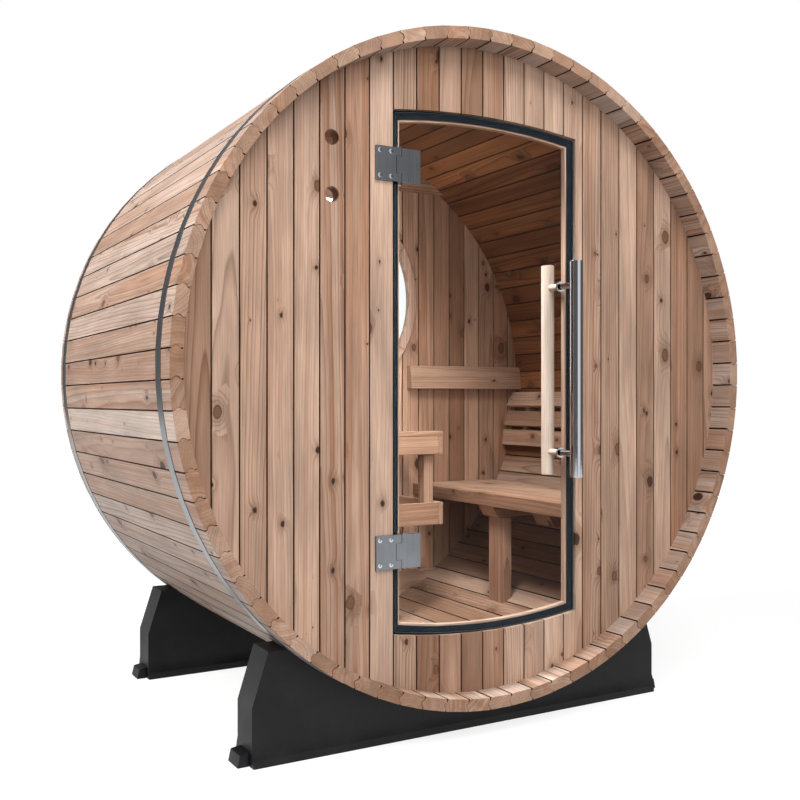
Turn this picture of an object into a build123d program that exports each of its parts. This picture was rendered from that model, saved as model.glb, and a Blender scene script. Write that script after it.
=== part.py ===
from build123d import *
import math
import os

# Barrel sauna in millimetres. X runs across the front, Y from front to back, Z up.
# The origin lies on the floor, midway along the overall length and on the barrel's centreline.

# Barrel
BARREL_DIAMETER = 1828.8
BARREL_LENGTH = 1190.0
STAVE_COUNT = 80
STAVE_THICKNESS = 33.0
STAVES_PER_SECTION = 10
BARREL_GROUND_GAP = 75.6

# End walls
WALL_THICKNESS = 35.0
FRONT_RECESS = 70.0
REAR_RECESS = 35.0
VENT_DIAMETER = 40.0
VENT_X = -475.0
VENT_HEIGHTS = (438.5, 582.5)
CLEAT_THICKNESS = 28.0
CLEAT_CHORD_HEIGHT = 720.0
CLEAT_LOW_CHORD = 736.0

# Hoops
HOOP_WIDTH = 38.0
HOOP_THICKNESS = 1.5

# Doorway, heights measured from the barrel's axis
DOORWAY_CENTRE_X = 10.0
DOORWAY_WIDTH = 612.0
DOORWAY_TOP_CORNER = 679.0
DOORWAY_TOP_RISE = 21.0
DOORWAY_LOW_CORNER = 698.0
DOORWAY_LOW_DROP = 24.0
STOP_WIDTH = 27.0
STOP_THICKNESS = 17.0
SEAL_WIDTH = 22.0
SEAL_THICKNESS = 3.0

# Glass door
GLASS_THICKNESS = 8.0
GLASS_GAP = 7.0
HINGE_HEIGHTS = (533.0, -479.0)
HINGE_PLATE_HEIGHT = 89.0
HINGE_PLATE_THICKNESS = 8.0
WALL_LEAF_REACH = 55.0
WALL_LEAF_OVERHANG = 20.0
GLASS_LEAF_WIDTH = 58.0
LEAF_CLEARANCE = 0.4
KNUCKLE_WIDTH = 15.0
KNUCKLE_HEIGHT = 44.0
KNUCKLE_END_CLEARANCE = 0.5
HINGE_NOTCH_MARGIN = 6.0
BACK_LEAF_INSET = 14.0
BACK_LEAF_THICKNESS = 5.0
HINGE_PIN_DIAMETER = 5.0
PIN_CLEARANCE = 0.05
HANDLE_DIAMETER = 38.0
HANDLE_LENGTH = 616.0
HANDLE_X = 268.0
HANDLE_HEIGHT = 6.0
HANDLE_STANDOFF = 62.0
STANDOFF_DIAMETER = 19.0
STANDOFF_SPACING = 482.0

# Round window in the back wall
WINDOW_HEIGHT = 305.0
WINDOW_HOLE_DIAMETER = 760.0
WINDOW_RING_INNER_DIAMETER = 718.0
WINDOW_RING_OUTER_DIAMETER = 784.0
WINDOW_RING_THICKNESS = 20.0
WINDOW_PANE_THICKNESS = 6.0
WINDOW_PANE_LAP = 20.0
OUTER_RING_SETBACK = 10.0
OUTER_RING_WIDTH = 34.0
OUTER_RING_THICKNESS = 18.0

# Benches, heights measured from the barrel's axis
BENCH_TOP = -402.0
BENCH_FRONT_X = 385.0
BENCH_FRONT_BOARD = 35.0
BENCH_BOARD_THICKNESS = 44.0
BENCH_BOARD_GAP = 4.0
BENCH_BOARD_COUNT = 4
BENCH_END_GAP = 3.0
BENCH_STAVE_GAP = 4.0
BATTEN_THICKNESS = 38.0
BATTEN_WIDTH = 89.0
BATTEN_BEVEL = 22.0
BATTEN_INSET = 8.0
BATTEN_CENTRES = (-253.0, 50.0)
LEDGER_THICKNESS = 28.0
POST_DEPTH = 89.0
POST_WIDTH = 33.0
POST_X = 419.0

# Backrests: each slat's lower inner edge by its rise above the bench and inset from the staves, and its lean
BACKREST_SLATS = ((298.0, 46.0, 27.0), (218.0, 45.0, 17.0), (140.0, 34.5, 6.0))
BACKREST_SLAT_WIDTH = 62.0
BACKREST_SLAT_THICKNESS = 18.0
BACKREST_SUPPORT_WIDTH = 30.0
BACKREST_SUPPORT_INSET = 120.0

# Head rails on the back wall above the benches
HEAD_RAIL_INNER_X = 360.0
HEAD_RAIL_BOTTOM = -38.0
HEAD_RAIL_HEIGHT = 89.0
HEAD_RAIL_THICKNESS = 38.0
HEAD_RAIL_TOP_THICKNESS = 26.0

# Heater guard
GUARD_HALF_WIDTH = 303.5
GUARD_FRONT_TO_WALL = 350.0
GUARD_BOARD = 18.0
GUARD_CAP_TOP = -191.0
GUARD_CAP_THICKNESS = 18.0
GUARD_CAP_WIDTH = 45.0
GUARD_UPPER_RAIL_HEIGHT = 63.0
GUARD_LOWER_RAIL_TOP = -441.0
GUARD_LOWER_RAIL_HEIGHT = 78.0
GUARD_POST_WIDTH = 35.0
GUARD_POST_DEPTH = 42.0
GUARD_POST_INSET = 13.0

# Cradles, their top and shoulder measured up from the barrel's lowest stave
CRADLE_CENTRE_X = -10.0
CRADLE_THICKNESS = 100.0
CRADLE_FROM_HOOP = 2.0
CRADLE_TOP_RISE = 207.4
CRADLE_SHOULDER_RISE = 71.4
CRADLE_HORN_WIDTH = 41.0
CRADLE_SPREAD = 43.5
SKIRT_HEIGHT = 54.0
SKIRT_FLARE = 12.0
PLINTH_HEIGHT = 20.0
PLINTH_SETBACK = 2.0
FOOT_WIDTH = 68.0
FOOT_REACH = 32.0
FOOT_TOP_REACH = 25.0
FOOT_INNER_HEIGHT = 35.0
FOOT_OUTER_HEIGHT = 31.0

# Derived sizes
HALF_PITCH = math.pi / STAVE_COUNT
OUTER_FLAT = BARREL_DIAMETER / 2
INNER_FLAT = OUTER_FLAT - STAVE_THICKNESS
AXIS_HEIGHT = OUTER_FLAT + BARREL_GROUND_GAP
HANDLE_RADIUS = HANDLE_DIAMETER / 2
HANDLE_PROUD = HANDLE_STANDOFF + HANDLE_RADIUS - FRONT_RECESS
RIM_FRONT = (HANDLE_PROUD - BARREL_LENGTH) / 2
RIM_REAR = RIM_FRONT + BARREL_LENGTH
FRONT_FACE = RIM_FRONT + FRONT_RECESS
FRONT_INNER = FRONT_FACE + WALL_THICKNESS
BACK_FACE = RIM_REAR - REAR_RECESS
BACK_INNER = BACK_FACE - WALL_THICKNESS
GLASS_BACK = FRONT_FACE + GLASS_THICKNESS
STOP_FRONT = FRONT_INNER - STOP_THICKNESS
JAMB_LEFT = DOORWAY_CENTRE_X - DOORWAY_WIDTH / 2
JAMB_RIGHT = DOORWAY_CENTRE_X + DOORWAY_WIDTH / 2
LEAF_SEAM = JAMB_LEFT + WALL_LEAF_OVERHANG
PIVOT_X = LEAF_SEAM - KNUCKLE_WIDTH / 2
PIVOT_Y = FRONT_FACE - HINGE_PLATE_THICKNESS / 2
KNUCKLE_SWEEP = math.hypot(KNUCKLE_WIDTH, HINGE_PLATE_THICKNESS) / 2
BIG = 2 * BARREL_DIAMETER


def end_plane(y):
    """Plane across the barrel at y, with its own x to the right and y up from the axis."""
    return Plane(origin=(0, y, AXIS_HEIGHT), x_dir=(1, 0, 0), z_dir=(0, -1, 0))


def slab(face, y_front, y_back):
    """Extrude a face drawn across the barrel from y_front to y_back."""
    return extrude(end_plane(y_back) * face, amount=y_back - y_front)


def outline(points):
    """Closed flat face through points."""
    return make_face(Polyline(*points, close=True))


def many_sided(flat):
    """Polygon with one side per stave, each side at distance flat from the axis."""
    corner = flat / math.cos(HALF_PITCH)
    angles = [(2 * i - 1) * HALF_PITCH for i in range(STAVE_COUNT)]
    return outline([(corner * math.sin(a), corner * math.cos(a)) for a in angles])


def rect(x_low, x_high, z_low, z_high):
    """Rectangle by its limits."""
    return Pos((x_low + x_high) / 2, (z_low + z_high) / 2) * Rectangle(x_high - x_low, z_high - z_low)


def box(x_low, x_high, y_low, y_high, z_low, z_high):
    """Box by its limits, heights measured from the barrel's axis."""
    return slab(rect(x_low, x_high, z_low, z_high), y_low, y_high)


def save(name, shape):
    """Write one node."""
    export_step(shape, os.path.join("parts", name + ".step"))


def both_sides(shape):
    """A shape and its mirror image across the barrel's centreline."""
    return Compound(children=[*shape.solids(), *mirror(shape, about=Plane.YZ).solids()])


def doorway(margin):
    """Doorway outline with arched head and sill, drawn in by margin."""
    left = JAMB_LEFT + margin
    right = JAMB_RIGHT - margin
    top = DOORWAY_TOP_CORNER - margin
    low = -DOORWAY_LOW_CORNER + margin
    head = ThreePointArc((left, top), (DOORWAY_CENTRE_X, top + DOORWAY_TOP_RISE), (right, top))
    sill = ThreePointArc((right, low), (DOORWAY_CENTRE_X, low - DOORWAY_LOW_DROP), (left, low))
    sides = Line((right, top), (right, low)) + Line((left, low), (left, top))
    return make_face(head + sill + sides)


def stave_section(index):
    """Run of staves, flat inside and out, one face per stave."""
    first = index * STAVES_PER_SECTION - STAVES_PER_SECTION // 2
    angles = [(2 * (first + i) - 1) * HALF_PITCH for i in range(STAVES_PER_SECTION + 1)]
    outer = OUTER_FLAT / math.cos(HALF_PITCH)
    inner = INNER_FLAT / math.cos(HALF_PITCH)
    points = [(outer * math.sin(a), outer * math.cos(a)) for a in angles]
    points += [(inner * math.sin(a), inner * math.cos(a)) for a in reversed(angles)]
    return slab(outline(points), RIM_FRONT, RIM_REAR)


SECTION_NAMES = (
    "staves_top",
    "staves_upper_right",
    "staves_right",
    "staves_lower_right",
    "staves_bottom",
    "staves_lower_left",
    "staves_left",
    "staves_upper_left",
)


def build_staves():
    """Barrel shell in runs of staves."""
    for index, name in enumerate(SECTION_NAMES):
        save(name, stave_section(index))


def build_front_wall():
    """Front wall split beside, over and under the doorway, with vents, cleats, stops and seal."""
    disc = many_sided(INNER_FLAT)
    vents = [Pos(VENT_X, z) * Circle(VENT_DIAMETER / 2) for z in VENT_HEIGHTS]
    left = disc & rect(-BIG, JAMB_LEFT, -BIG, BIG)
    save("front_wall_left", slab(left - vents, FRONT_FACE, FRONT_INNER))
    right = disc & rect(JAMB_RIGHT, BIG, -BIG, BIG)
    save("front_wall_right", slab(right, FRONT_FACE, FRONT_INNER))
    middle = (disc & rect(JAMB_LEFT, JAMB_RIGHT, -BIG, BIG)) - doorway(0)
    over = middle & rect(-BIG, BIG, 0, BIG)
    under = middle & rect(-BIG, BIG, -BIG, 0)
    save("front_wall_over_door", slab(over, FRONT_FACE, FRONT_INNER))
    save("front_wall_under_door", slab(under, FRONT_FACE, FRONT_INNER))
    build_cleats("front_wall_cleats", FRONT_INNER, FRONT_INNER + CLEAT_THICKNESS)
    frame = doorway(0) - doorway(STOP_WIDTH)
    side_left = frame & rect(-BIG, JAMB_LEFT + STOP_WIDTH, -BIG, BIG)
    side_right = frame & rect(JAMB_RIGHT - STOP_WIDTH, BIG, -BIG, BIG)
    between = frame & rect(JAMB_LEFT + STOP_WIDTH, JAMB_RIGHT - STOP_WIDTH, -BIG, BIG)
    sides = [slab(side, STOP_FRONT, FRONT_INNER) for side in (side_left, side_right)]
    ends = [slab(face, STOP_FRONT, FRONT_INNER) for face in between.faces()]
    save("door_stop_sides", Compound(children=sides))
    save("door_stop_ends", Compound(children=ends))
    seal = doorway(0) - doorway(SEAL_WIDTH)
    save("door_seal", slab(seal, STOP_FRONT - SEAL_THICKNESS, STOP_FRONT))


def build_cleats(name, y_front, y_back):
    """Segment-shaped cleats that tie a wall's boards at top and bottom."""
    disc = many_sided(INNER_FLAT)
    top = disc & rect(-BIG, BIG, CLEAT_CHORD_HEIGHT, BIG)
    low = disc & rect(-BIG, BIG, -BIG, -CLEAT_LOW_CHORD)
    save(name, Compound(children=[slab(top, y_front, y_back), slab(low, y_front, y_back)]))


def build_back_wall():
    """Back wall split around the round window, with its cleats."""
    disc = many_sided(INNER_FLAT)
    radius = WINDOW_HOLE_DIAMETER / 2
    hole = Pos(0, WINDOW_HEIGHT) * Circle(radius)
    save("back_wall_left", slab(disc & rect(-BIG, -radius, -BIG, BIG), BACK_INNER, BACK_FACE))
    save("back_wall_right", slab(disc & rect(radius, BIG, -BIG, BIG), BACK_INNER, BACK_FACE))
    middle = (disc & rect(-radius, radius, -BIG, BIG)) - hole
    over = middle & rect(-BIG, BIG, WINDOW_HEIGHT, BIG)
    under = middle & rect(-BIG, BIG, -BIG, WINDOW_HEIGHT)
    save("back_wall_over_window", slab(over, BACK_INNER, BACK_FACE))
    save("back_wall_under_window", slab(under, BACK_INNER, BACK_FACE))
    build_cleats("back_wall_cleats", BACK_INNER - CLEAT_THICKNESS, BACK_INNER)


def ring(inner_diameter, outer_diameter, y_front, y_back):
    """Flat ring round the window's centre."""
    face = Circle(outer_diameter / 2) - Circle(inner_diameter / 2)
    return slab(Pos(0, WINDOW_HEIGHT) * face, y_front, y_back)


def build_window():
    """Trim ring inside, pane against the outer face and clamping ring outside."""
    inner_front = BACK_INNER - WINDOW_RING_THICKNESS
    inner_ring = ring(WINDOW_RING_INNER_DIAMETER, WINDOW_RING_OUTER_DIAMETER, inner_front, BACK_INNER)
    save("window_inner_ring", inner_ring)
    pane = Pos(0, WINDOW_HEIGHT) * Circle(WINDOW_HOLE_DIAMETER / 2 + WINDOW_PANE_LAP)
    pane_back = BACK_FACE + WINDOW_PANE_THICKNESS
    save("window_pane", slab(pane, BACK_FACE, pane_back))
    inner_size = WINDOW_HOLE_DIAMETER + 2 * OUTER_RING_SETBACK
    outer_size = inner_size + 2 * OUTER_RING_WIDTH
    outer_ring = ring(inner_size, outer_size, pane_back, pane_back + OUTER_RING_THICKNESS)
    save("window_outer_ring", outer_ring)


def build_hoops():
    """Steel bands round the staves, one over each end wall."""
    band = many_sided(OUTER_FLAT + HOOP_THICKNESS) - many_sided(OUTER_FLAT)
    front_centre = (FRONT_FACE + FRONT_INNER) / 2
    back_centre = (BACK_FACE + BACK_INNER) / 2
    half = HOOP_WIDTH / 2
    save("hoop_front", slab(band, front_centre - half, front_centre + half))
    save("hoop_rear", slab(band, back_centre - half, back_centre + half))


def chord_half(flat, height):
    """Half the width of the barrel's flat circle at a height from its axis."""
    return math.sqrt(flat**2 - height**2)


def build_cradles():
    """Two saddles cut to the barrel, each with a flared skirt, and a foot block at each end."""
    floor = -AXIS_HEIGHT
    top = CRADLE_TOP_RISE - OUTER_FLAT
    shoulder = CRADLE_SHOULDER_RISE - OUTER_FLAT
    top_half = chord_half(OUTER_FLAT, top) + CRADLE_HORN_WIDTH
    half = top_half + CRADLE_SPREAD
    half_face = outline([(0, floor), (half, floor), (half, shoulder), (top_half, top), (0, top)])
    whole_face = half_face + mirror(half_face, about=Plane.YZ)
    profile = Pos(CRADLE_CENTRE_X, 0) * whole_face - many_sided(OUTER_FLAT)
    skirt_half = [
        (0, 0),
        (CRADLE_THICKNESS / 2 + SKIRT_FLARE - PLINTH_SETBACK, 0),
        (CRADLE_THICKNESS / 2 + SKIRT_FLARE - PLINTH_SETBACK, PLINTH_HEIGHT),
        (CRADLE_THICKNESS / 2 + SKIRT_FLARE, PLINTH_HEIGHT),
        (CRADLE_THICKNESS / 2, SKIRT_HEIGHT),
        (0, SKIRT_HEIGHT),
    ]
    skirt_face = outline(skirt_half)
    skirt_face += mirror(skirt_face, about=Plane.YZ)
    foot_face = outline([
        (half, floor),
        (half + FOOT_REACH, floor),
        (half + FOOT_TOP_REACH, floor + FOOT_OUTER_HEIGHT),
        (half, floor + FOOT_INNER_HEIGHT),
    ])
    hoop_reach = (WALL_THICKNESS + HOOP_WIDTH) / 2
    middle_from_wall = hoop_reach + CRADLE_FROM_HOOP + CRADLE_THICKNESS / 2
    feet = []
    for name, middle in (
        ("cradle_front", FRONT_FACE + middle_from_wall),
        ("cradle_rear", BACK_FACE - middle_from_wall),
    ):
        saddle = slab(profile, middle - CRADLE_THICKNESS / 2, middle + CRADLE_THICKNESS / 2)
        skirt_end = Plane(origin=(CRADLE_CENTRE_X - half, middle, 0), x_dir=(0, 1, 0), z_dir=(1, 0, 0))
        save(name, saddle + extrude(skirt_end * skirt_face, amount=2 * half))
        pair = both_sides(slab(foot_face, middle - FOOT_WIDTH / 2, middle + FOOT_WIDTH / 2))
        feet.extend((Pos(CRADLE_CENTRE_X, 0, 0) * pair).solids())
    save("cradle_feet", Compound(children=feet))


def build_benches():
    """Seat boards, front boards, battens, wall ledgers and posts of both benches."""
    seat_low = BENCH_TOP - BENCH_BOARD_THICKNESS
    batten_low = seat_low - BATTEN_THICKNESS
    seat_outer = chord_half(INNER_FLAT, seat_low) - BENCH_STAVE_GAP
    y_front = FRONT_INNER + BENCH_END_GAP
    y_back = BACK_INNER - BENCH_END_GAP
    front_back_x = BENCH_FRONT_X + BENCH_FRONT_BOARD
    front_board = box(BENCH_FRONT_X, front_back_x, y_front, y_back, seat_low, BENCH_TOP)
    save("bench_front_boards", both_sides(front_board))
    board_pitch = (seat_outer - front_back_x) / BENCH_BOARD_COUNT
    boards = []
    for index in range(BENCH_BOARD_COUNT):
        x_high = front_back_x + (index + 1) * board_pitch
        x_low = x_high - board_pitch + BENCH_BOARD_GAP
        boards.append(box(x_low, x_high, y_front, y_back, seat_low, BENCH_TOP))
    save("bench_right_seat", Compound(children=boards))
    save("bench_left_seat", mirror(Compound(children=boards), about=Plane.YZ))
    shell_inside = many_sided(INNER_FLAT)
    batten_front_x = BENCH_FRONT_X + BATTEN_INSET
    batten_face = outline([
        (batten_front_x, seat_low),
        (batten_front_x + BATTEN_BEVEL, batten_low),
        (BIG, batten_low),
        (BIG, seat_low),
    ]) & shell_inside & rect(0, seat_outer, -BIG, 0)
    battens = []
    for centre in BATTEN_CENTRES:
        batten = slab(batten_face, centre - BATTEN_WIDTH / 2, centre + BATTEN_WIDTH / 2)
        battens.extend(both_sides(batten).solids())
    save("bench_battens", Compound(children=battens))
    ledger_face = rect(batten_front_x, BIG, batten_low, seat_low) & shell_inside
    ledgers = both_sides(slab(ledger_face, FRONT_INNER, FRONT_INNER + LEDGER_THICKNESS)).solids()
    ledgers += both_sides(slab(ledger_face, BACK_INNER - LEDGER_THICKNESS, BACK_INNER)).solids()
    save("bench_ledgers", Compound(children=list(ledgers)))
    post_face = rect(POST_X, POST_X + POST_WIDTH, -BIG, batten_low) & shell_inside
    post_centre = (FRONT_INNER + BACK_INNER) / 2
    post = slab(post_face, post_centre - POST_DEPTH / 2, post_centre + POST_DEPTH / 2)
    save("bench_posts", both_sides(post))


def slat_corners(x, z, lean):
    """Inner bottom, inner top, outer top and outer bottom corners of a leaning slat."""
    up = (math.sin(math.radians(lean)), math.cos(math.radians(lean)))
    out = (up[1], -up[0])
    width = BACKREST_SLAT_WIDTH
    depth = BACKREST_SLAT_THICKNESS
    inner_top = (x + width * up[0], z + width * up[1])
    outer_top = (inner_top[0] + depth * out[0], inner_top[1] + depth * out[1])
    outer_low = (x + depth * out[0], z + depth * out[1])
    return (x, z), inner_top, outer_top, outer_low


def build_backrests():
    """Leaning slats on shaped supports that fill the space to the staves."""
    y_front = FRONT_INNER + BENCH_END_GAP
    y_back = BACK_INNER - BENCH_END_GAP
    slats = []
    back_line = []
    for rise, inset, lean in BACKREST_SLATS:
        height = BENCH_TOP + rise
        corners = slat_corners(chord_half(INNER_FLAT, height) - inset, height, lean)
        slats.append(slab(outline(corners), y_front, y_back))
        back_line += [corners[2], corners[3]]
    save("backrest_slats", both_sides(Compound(children=slats)))
    top_z = back_line[0][1]
    low_z = back_line[-1][1]
    support_face = outline([*back_line, (BIG, low_z), (BIG, top_z)]) & many_sided(INNER_FLAT)
    supports = []
    for centre in (y_front + BACKREST_SUPPORT_INSET, y_back - BACKREST_SUPPORT_INSET):
        half = BACKREST_SUPPORT_WIDTH / 2
        supports.extend(both_sides(slab(support_face, centre - half, centre + half)).solids())
    save("backrest_supports", Compound(children=supports))


def build_head_rails():
    """Bevelled planks across the back wall above each bench."""
    thick = BACK_INNER - HEAD_RAIL_THICKNESS
    thin = BACK_INNER - HEAD_RAIL_TOP_THICKNESS
    low = AXIS_HEIGHT + HEAD_RAIL_BOTTOM
    high = low + HEAD_RAIL_HEIGHT
    side_face = Plane.YZ * outline([(BACK_INNER, low), (thick, low), (thin, high), (BACK_INNER, high)])
    plank = Pos(HEAD_RAIL_INNER_X, 0, 0) * extrude(side_face, amount=BARREL_DIAMETER)
    inside = slab(many_sided(INNER_FLAT), RIM_FRONT, RIM_REAR)
    save("head_rails", both_sides(plank & inside))


def build_heater_guard():
    """Two-rail guard with side rails back to the wall, posts inside its corners and a cap."""
    y_front = BACK_INNER - GUARD_FRONT_TO_WALL
    y_board = y_front + GUARD_BOARD
    inner_x = GUARD_HALF_WIDTH - GUARD_BOARD
    upper_top = GUARD_CAP_TOP - GUARD_CAP_THICKNESS
    upper_low = upper_top - GUARD_UPPER_RAIL_HEIGHT
    lower_low = GUARD_LOWER_RAIL_TOP - GUARD_LOWER_RAIL_HEIGHT
    levels = ((upper_low, upper_top), (lower_low, GUARD_LOWER_RAIL_TOP))
    fronts = [box(-inner_x, inner_x, y_front, y_board, low, top) for low, top in levels]
    save("guard_front_rails", Compound(children=fronts))
    sides = []
    for low, top in levels:
        side = box(inner_x, GUARD_HALF_WIDTH, y_front, BACK_INNER, low, top)
        sides.extend(both_sides(side).solids())
    save("guard_side_rails", Compound(children=sides))
    post_outer = inner_x - GUARD_POST_INSET
    post_back = y_board + GUARD_POST_DEPTH
    post = box(post_outer - GUARD_POST_WIDTH, post_outer, y_board, post_back, lower_low, upper_top)
    save("guard_posts", both_sides(post))
    cap_back = y_front + GUARD_CAP_WIDTH
    cap = box(-GUARD_HALF_WIDTH, GUARD_HALF_WIDTH, y_front, cap_back, upper_top, GUARD_CAP_TOP)
    save("guard_cap", cap)


def hinge_box(x_low, x_high, y_low, y_high, centre, height):
    """Hinge block centred on a hinge's height."""
    return box(x_low, x_high, y_low, y_high, centre - height / 2, centre + height / 2)


def build_door():
    """Glass leaf, hinge leaves, hinge pins and the two handles on shared standoffs."""
    plate_front = FRONT_FACE - HINGE_PLATE_THICKNESS
    notch_x = LEAF_SEAM + HINGE_NOTCH_MARGIN
    notch_height = HINGE_PLATE_HEIGHT + 2 * HINGE_NOTCH_MARGIN
    notches = [
        rect(-BIG, notch_x, centre - notch_height / 2, centre + notch_height / 2)
        for centre in HINGE_HEIGHTS
    ]
    save("door_glass", slab(doorway(GLASS_GAP) - notches, FRONT_FACE, GLASS_BACK))
    wall_leaves = []
    glass_leaves = []
    back_leaves = []
    wall_start = JAMB_LEFT - WALL_LEAF_REACH
    leaf_start = PIVOT_X + KNUCKLE_SWEEP + LEAF_CLEARANCE
    leaf_end = LEAF_SEAM + GLASS_LEAF_WIDTH
    cut_start = PIVOT_X - KNUCKLE_SWEEP - LEAF_CLEARANCE
    cut_height = KNUCKLE_HEIGHT + 2 * KNUCKLE_END_CLEARANCE
    knuckle_start = LEAF_SEAM - KNUCKLE_WIDTH
    pin = Pos(PIVOT_X, PIVOT_Y, AXIS_HEIGHT) * Cylinder(HINGE_PIN_DIAMETER / 2, HINGE_PLATE_HEIGHT)
    socket_radius = HINGE_PIN_DIAMETER / 2 + PIN_CLEARANCE
    socket = Pos(PIVOT_X, PIVOT_Y, AXIS_HEIGHT) * Cylinder(socket_radius, HINGE_PLATE_HEIGHT)
    for centre in HINGE_HEIGHTS:
        wall_leaf = hinge_box(wall_start, LEAF_SEAM, plate_front, FRONT_FACE, centre, HINGE_PLATE_HEIGHT)
        cut = hinge_box(cut_start, LEAF_SEAM, plate_front, FRONT_FACE, centre, cut_height)
        wall_leaves.append(wall_leaf - cut - Pos(0, 0, centre) * socket)
        leaf = hinge_box(leaf_start, leaf_end, plate_front, FRONT_FACE, centre, HINGE_PLATE_HEIGHT)
        tongue = hinge_box(knuckle_start, leaf_start, plate_front, FRONT_FACE, centre, KNUCKLE_HEIGHT)
        glass_leaves.append(leaf + tongue + Pos(0, 0, centre) * pin)
        back_y = GLASS_BACK + BACK_LEAF_THICKNESS
        back_start = LEAF_SEAM + BACK_LEAF_INSET
        back_leaves.append(hinge_box(back_start, leaf_end, GLASS_BACK, back_y, centre, HINGE_PLATE_HEIGHT))
    save("hinge_wall_leaves", Compound(children=wall_leaves))
    save("hinge_glass_leaves", Compound(children=glass_leaves))
    save("hinge_back_leaves", Compound(children=back_leaves))
    build_handles()


def build_handles():
    """Steel tube outside and wooden bar inside, each on two standoffs."""
    outside_y = FRONT_FACE - HANDLE_STANDOFF
    inside_y = GLASS_BACK + HANDLE_STANDOFF
    middle = AXIS_HEIGHT + HANDLE_HEIGHT
    bar = Cylinder(HANDLE_RADIUS, HANDLE_LENGTH)
    outside = Pos(HANDLE_X, outside_y, middle) * bar
    inside = Pos(HANDLE_X, inside_y, middle) * bar
    for offset in (-STANDOFF_SPACING / 2, STANDOFF_SPACING / 2):
        height = HANDLE_HEIGHT + offset
        face = Pos(HANDLE_X, height) * Circle(STANDOFF_DIAMETER / 2)
        outside += slab(face, outside_y, FRONT_FACE)
        inside += slab(face, GLASS_BACK, inside_y)
    save("handle_outside", outside)
    save("handle_inside", inside)


def main():
    """Write every node."""
    os.makedirs("parts", exist_ok=True)
    build_staves()
    build_front_wall()
    build_back_wall()
    build_window()
    build_hoops()
    build_cradles()
    build_benches()
    build_backrests()
    build_head_rails()
    build_heater_guard()
    build_door()


main()
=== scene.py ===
import logging
import math
import random
from abc import ABC, abstractmethod
from collections.abc import Callable, Iterable, Sequence
from dataclasses import dataclass
from enum import Enum

import bmesh
import bpy
from mathutils import Matrix, Vector


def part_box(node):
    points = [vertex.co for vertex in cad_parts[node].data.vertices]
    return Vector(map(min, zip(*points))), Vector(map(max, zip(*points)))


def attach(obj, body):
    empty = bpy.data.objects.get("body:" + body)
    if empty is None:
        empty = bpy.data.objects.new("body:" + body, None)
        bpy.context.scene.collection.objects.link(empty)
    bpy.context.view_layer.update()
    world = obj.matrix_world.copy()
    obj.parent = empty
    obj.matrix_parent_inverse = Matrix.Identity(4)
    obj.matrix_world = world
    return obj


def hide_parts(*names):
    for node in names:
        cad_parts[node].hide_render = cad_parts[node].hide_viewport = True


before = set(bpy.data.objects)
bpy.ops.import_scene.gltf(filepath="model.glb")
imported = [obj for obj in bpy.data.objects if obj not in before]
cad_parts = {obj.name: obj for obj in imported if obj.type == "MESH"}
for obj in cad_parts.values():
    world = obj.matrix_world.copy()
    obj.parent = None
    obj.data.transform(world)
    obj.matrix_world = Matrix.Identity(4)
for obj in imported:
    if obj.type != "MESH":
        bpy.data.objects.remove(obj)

log = logging.getLogger("barrel_sauna")

MM = 0.001

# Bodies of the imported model.
ROOT = "root"
DOOR = "door"

# Attributes that hold each vertex's place in its log and the traits of its board.
GRAIN = "grain"
BOARD = "board"

# Vertices nearer than WELD are one, edges sharper than SHARP are rounded, faces at less than
# SMOOTH are shaded as one surface, and faces at less than FLAT or CUT_FLAT are merged.
WELD = 2e-6
SHARP = math.radians(25)
SMOOTH = math.radians(32)
FLAT = math.radians(0.5)
CUT_FLAT = math.radians(0.2)

# Most of a noise lies between these two values.
LOW_NOISE = 0.3
HIGH_NOISE = 0.7

WHITE = (1.0, 1.0, 1.0, 1.0)

Point2 = tuple[float, float]
Point3 = tuple[float, float, float]
Colour = tuple[float, float, float, float]


class Slot(Enum):
    """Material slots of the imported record."""

    STAVE = "stave_cedar"
    WALL = "wall_cedar"
    BENCH = "bench_cedar"
    TRIM = "trim_cedar"
    HANDLE_WOOD = "handle_wood"
    GLASS = "clear_glass"
    RUBBER = "black_rubber"
    STEEL = "brushed_stainless"
    CHROME = "polished_chrome"
    PAINT = "black_painted_wood"


class Axis(Enum):
    """Direction of a board's length, as an index into a vector."""

    X = 0
    Y = 1
    Z = 2


class Side(Enum):
    """Faces of a board or pane, as material numbers."""

    FACE = 0
    EDGE = 1


def linear(code: str) -> Colour:
    """Turn an sRGB hex colour into linear values.

    Args:
        code: Six hex digits after a hash sign.

    Returns:
        Red, green, blue and an alpha of one.
    """
    parts = [int(code[i:i + 2], 16) / 255 for i in (1, 3, 5)]
    values = [v / 12.92 if v <= 0.04045 else ((v + 0.055) / 1.055) ** 2.4 for v in parts]
    return (*values, 1.0)


def add_node(
    tree: bpy.types.NodeTree, kind: str, inputs: dict[str | int, object] | None = None,
    output: str | int = 0, **settings: object
) -> bpy.types.NodeSocket | None:
    """Add a shader node with its settings and links.

    Args:
        tree: Node tree that gets the node.
        kind: Kind of node, without the common start of its name.
        inputs: Values or output sockets, by the name or number of the input.
        output: Name or number of the output that is handed back.
        **settings: Attributes of the node.

    Returns:
        The chosen output, or None on a node without any; the others are found through its node.
    """
    node = tree.nodes.new("ShaderNode" + kind)
    for name, value in settings.items():
        setattr(node, name, value)
    for key, value in (inputs or {}).items():
        if isinstance(value, bpy.types.NodeSocket):
            tree.links.new(value, node.inputs[key])
        else:
            node.inputs[key].default_value = value
    return node.outputs[output] if len(node.outputs) else None


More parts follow.
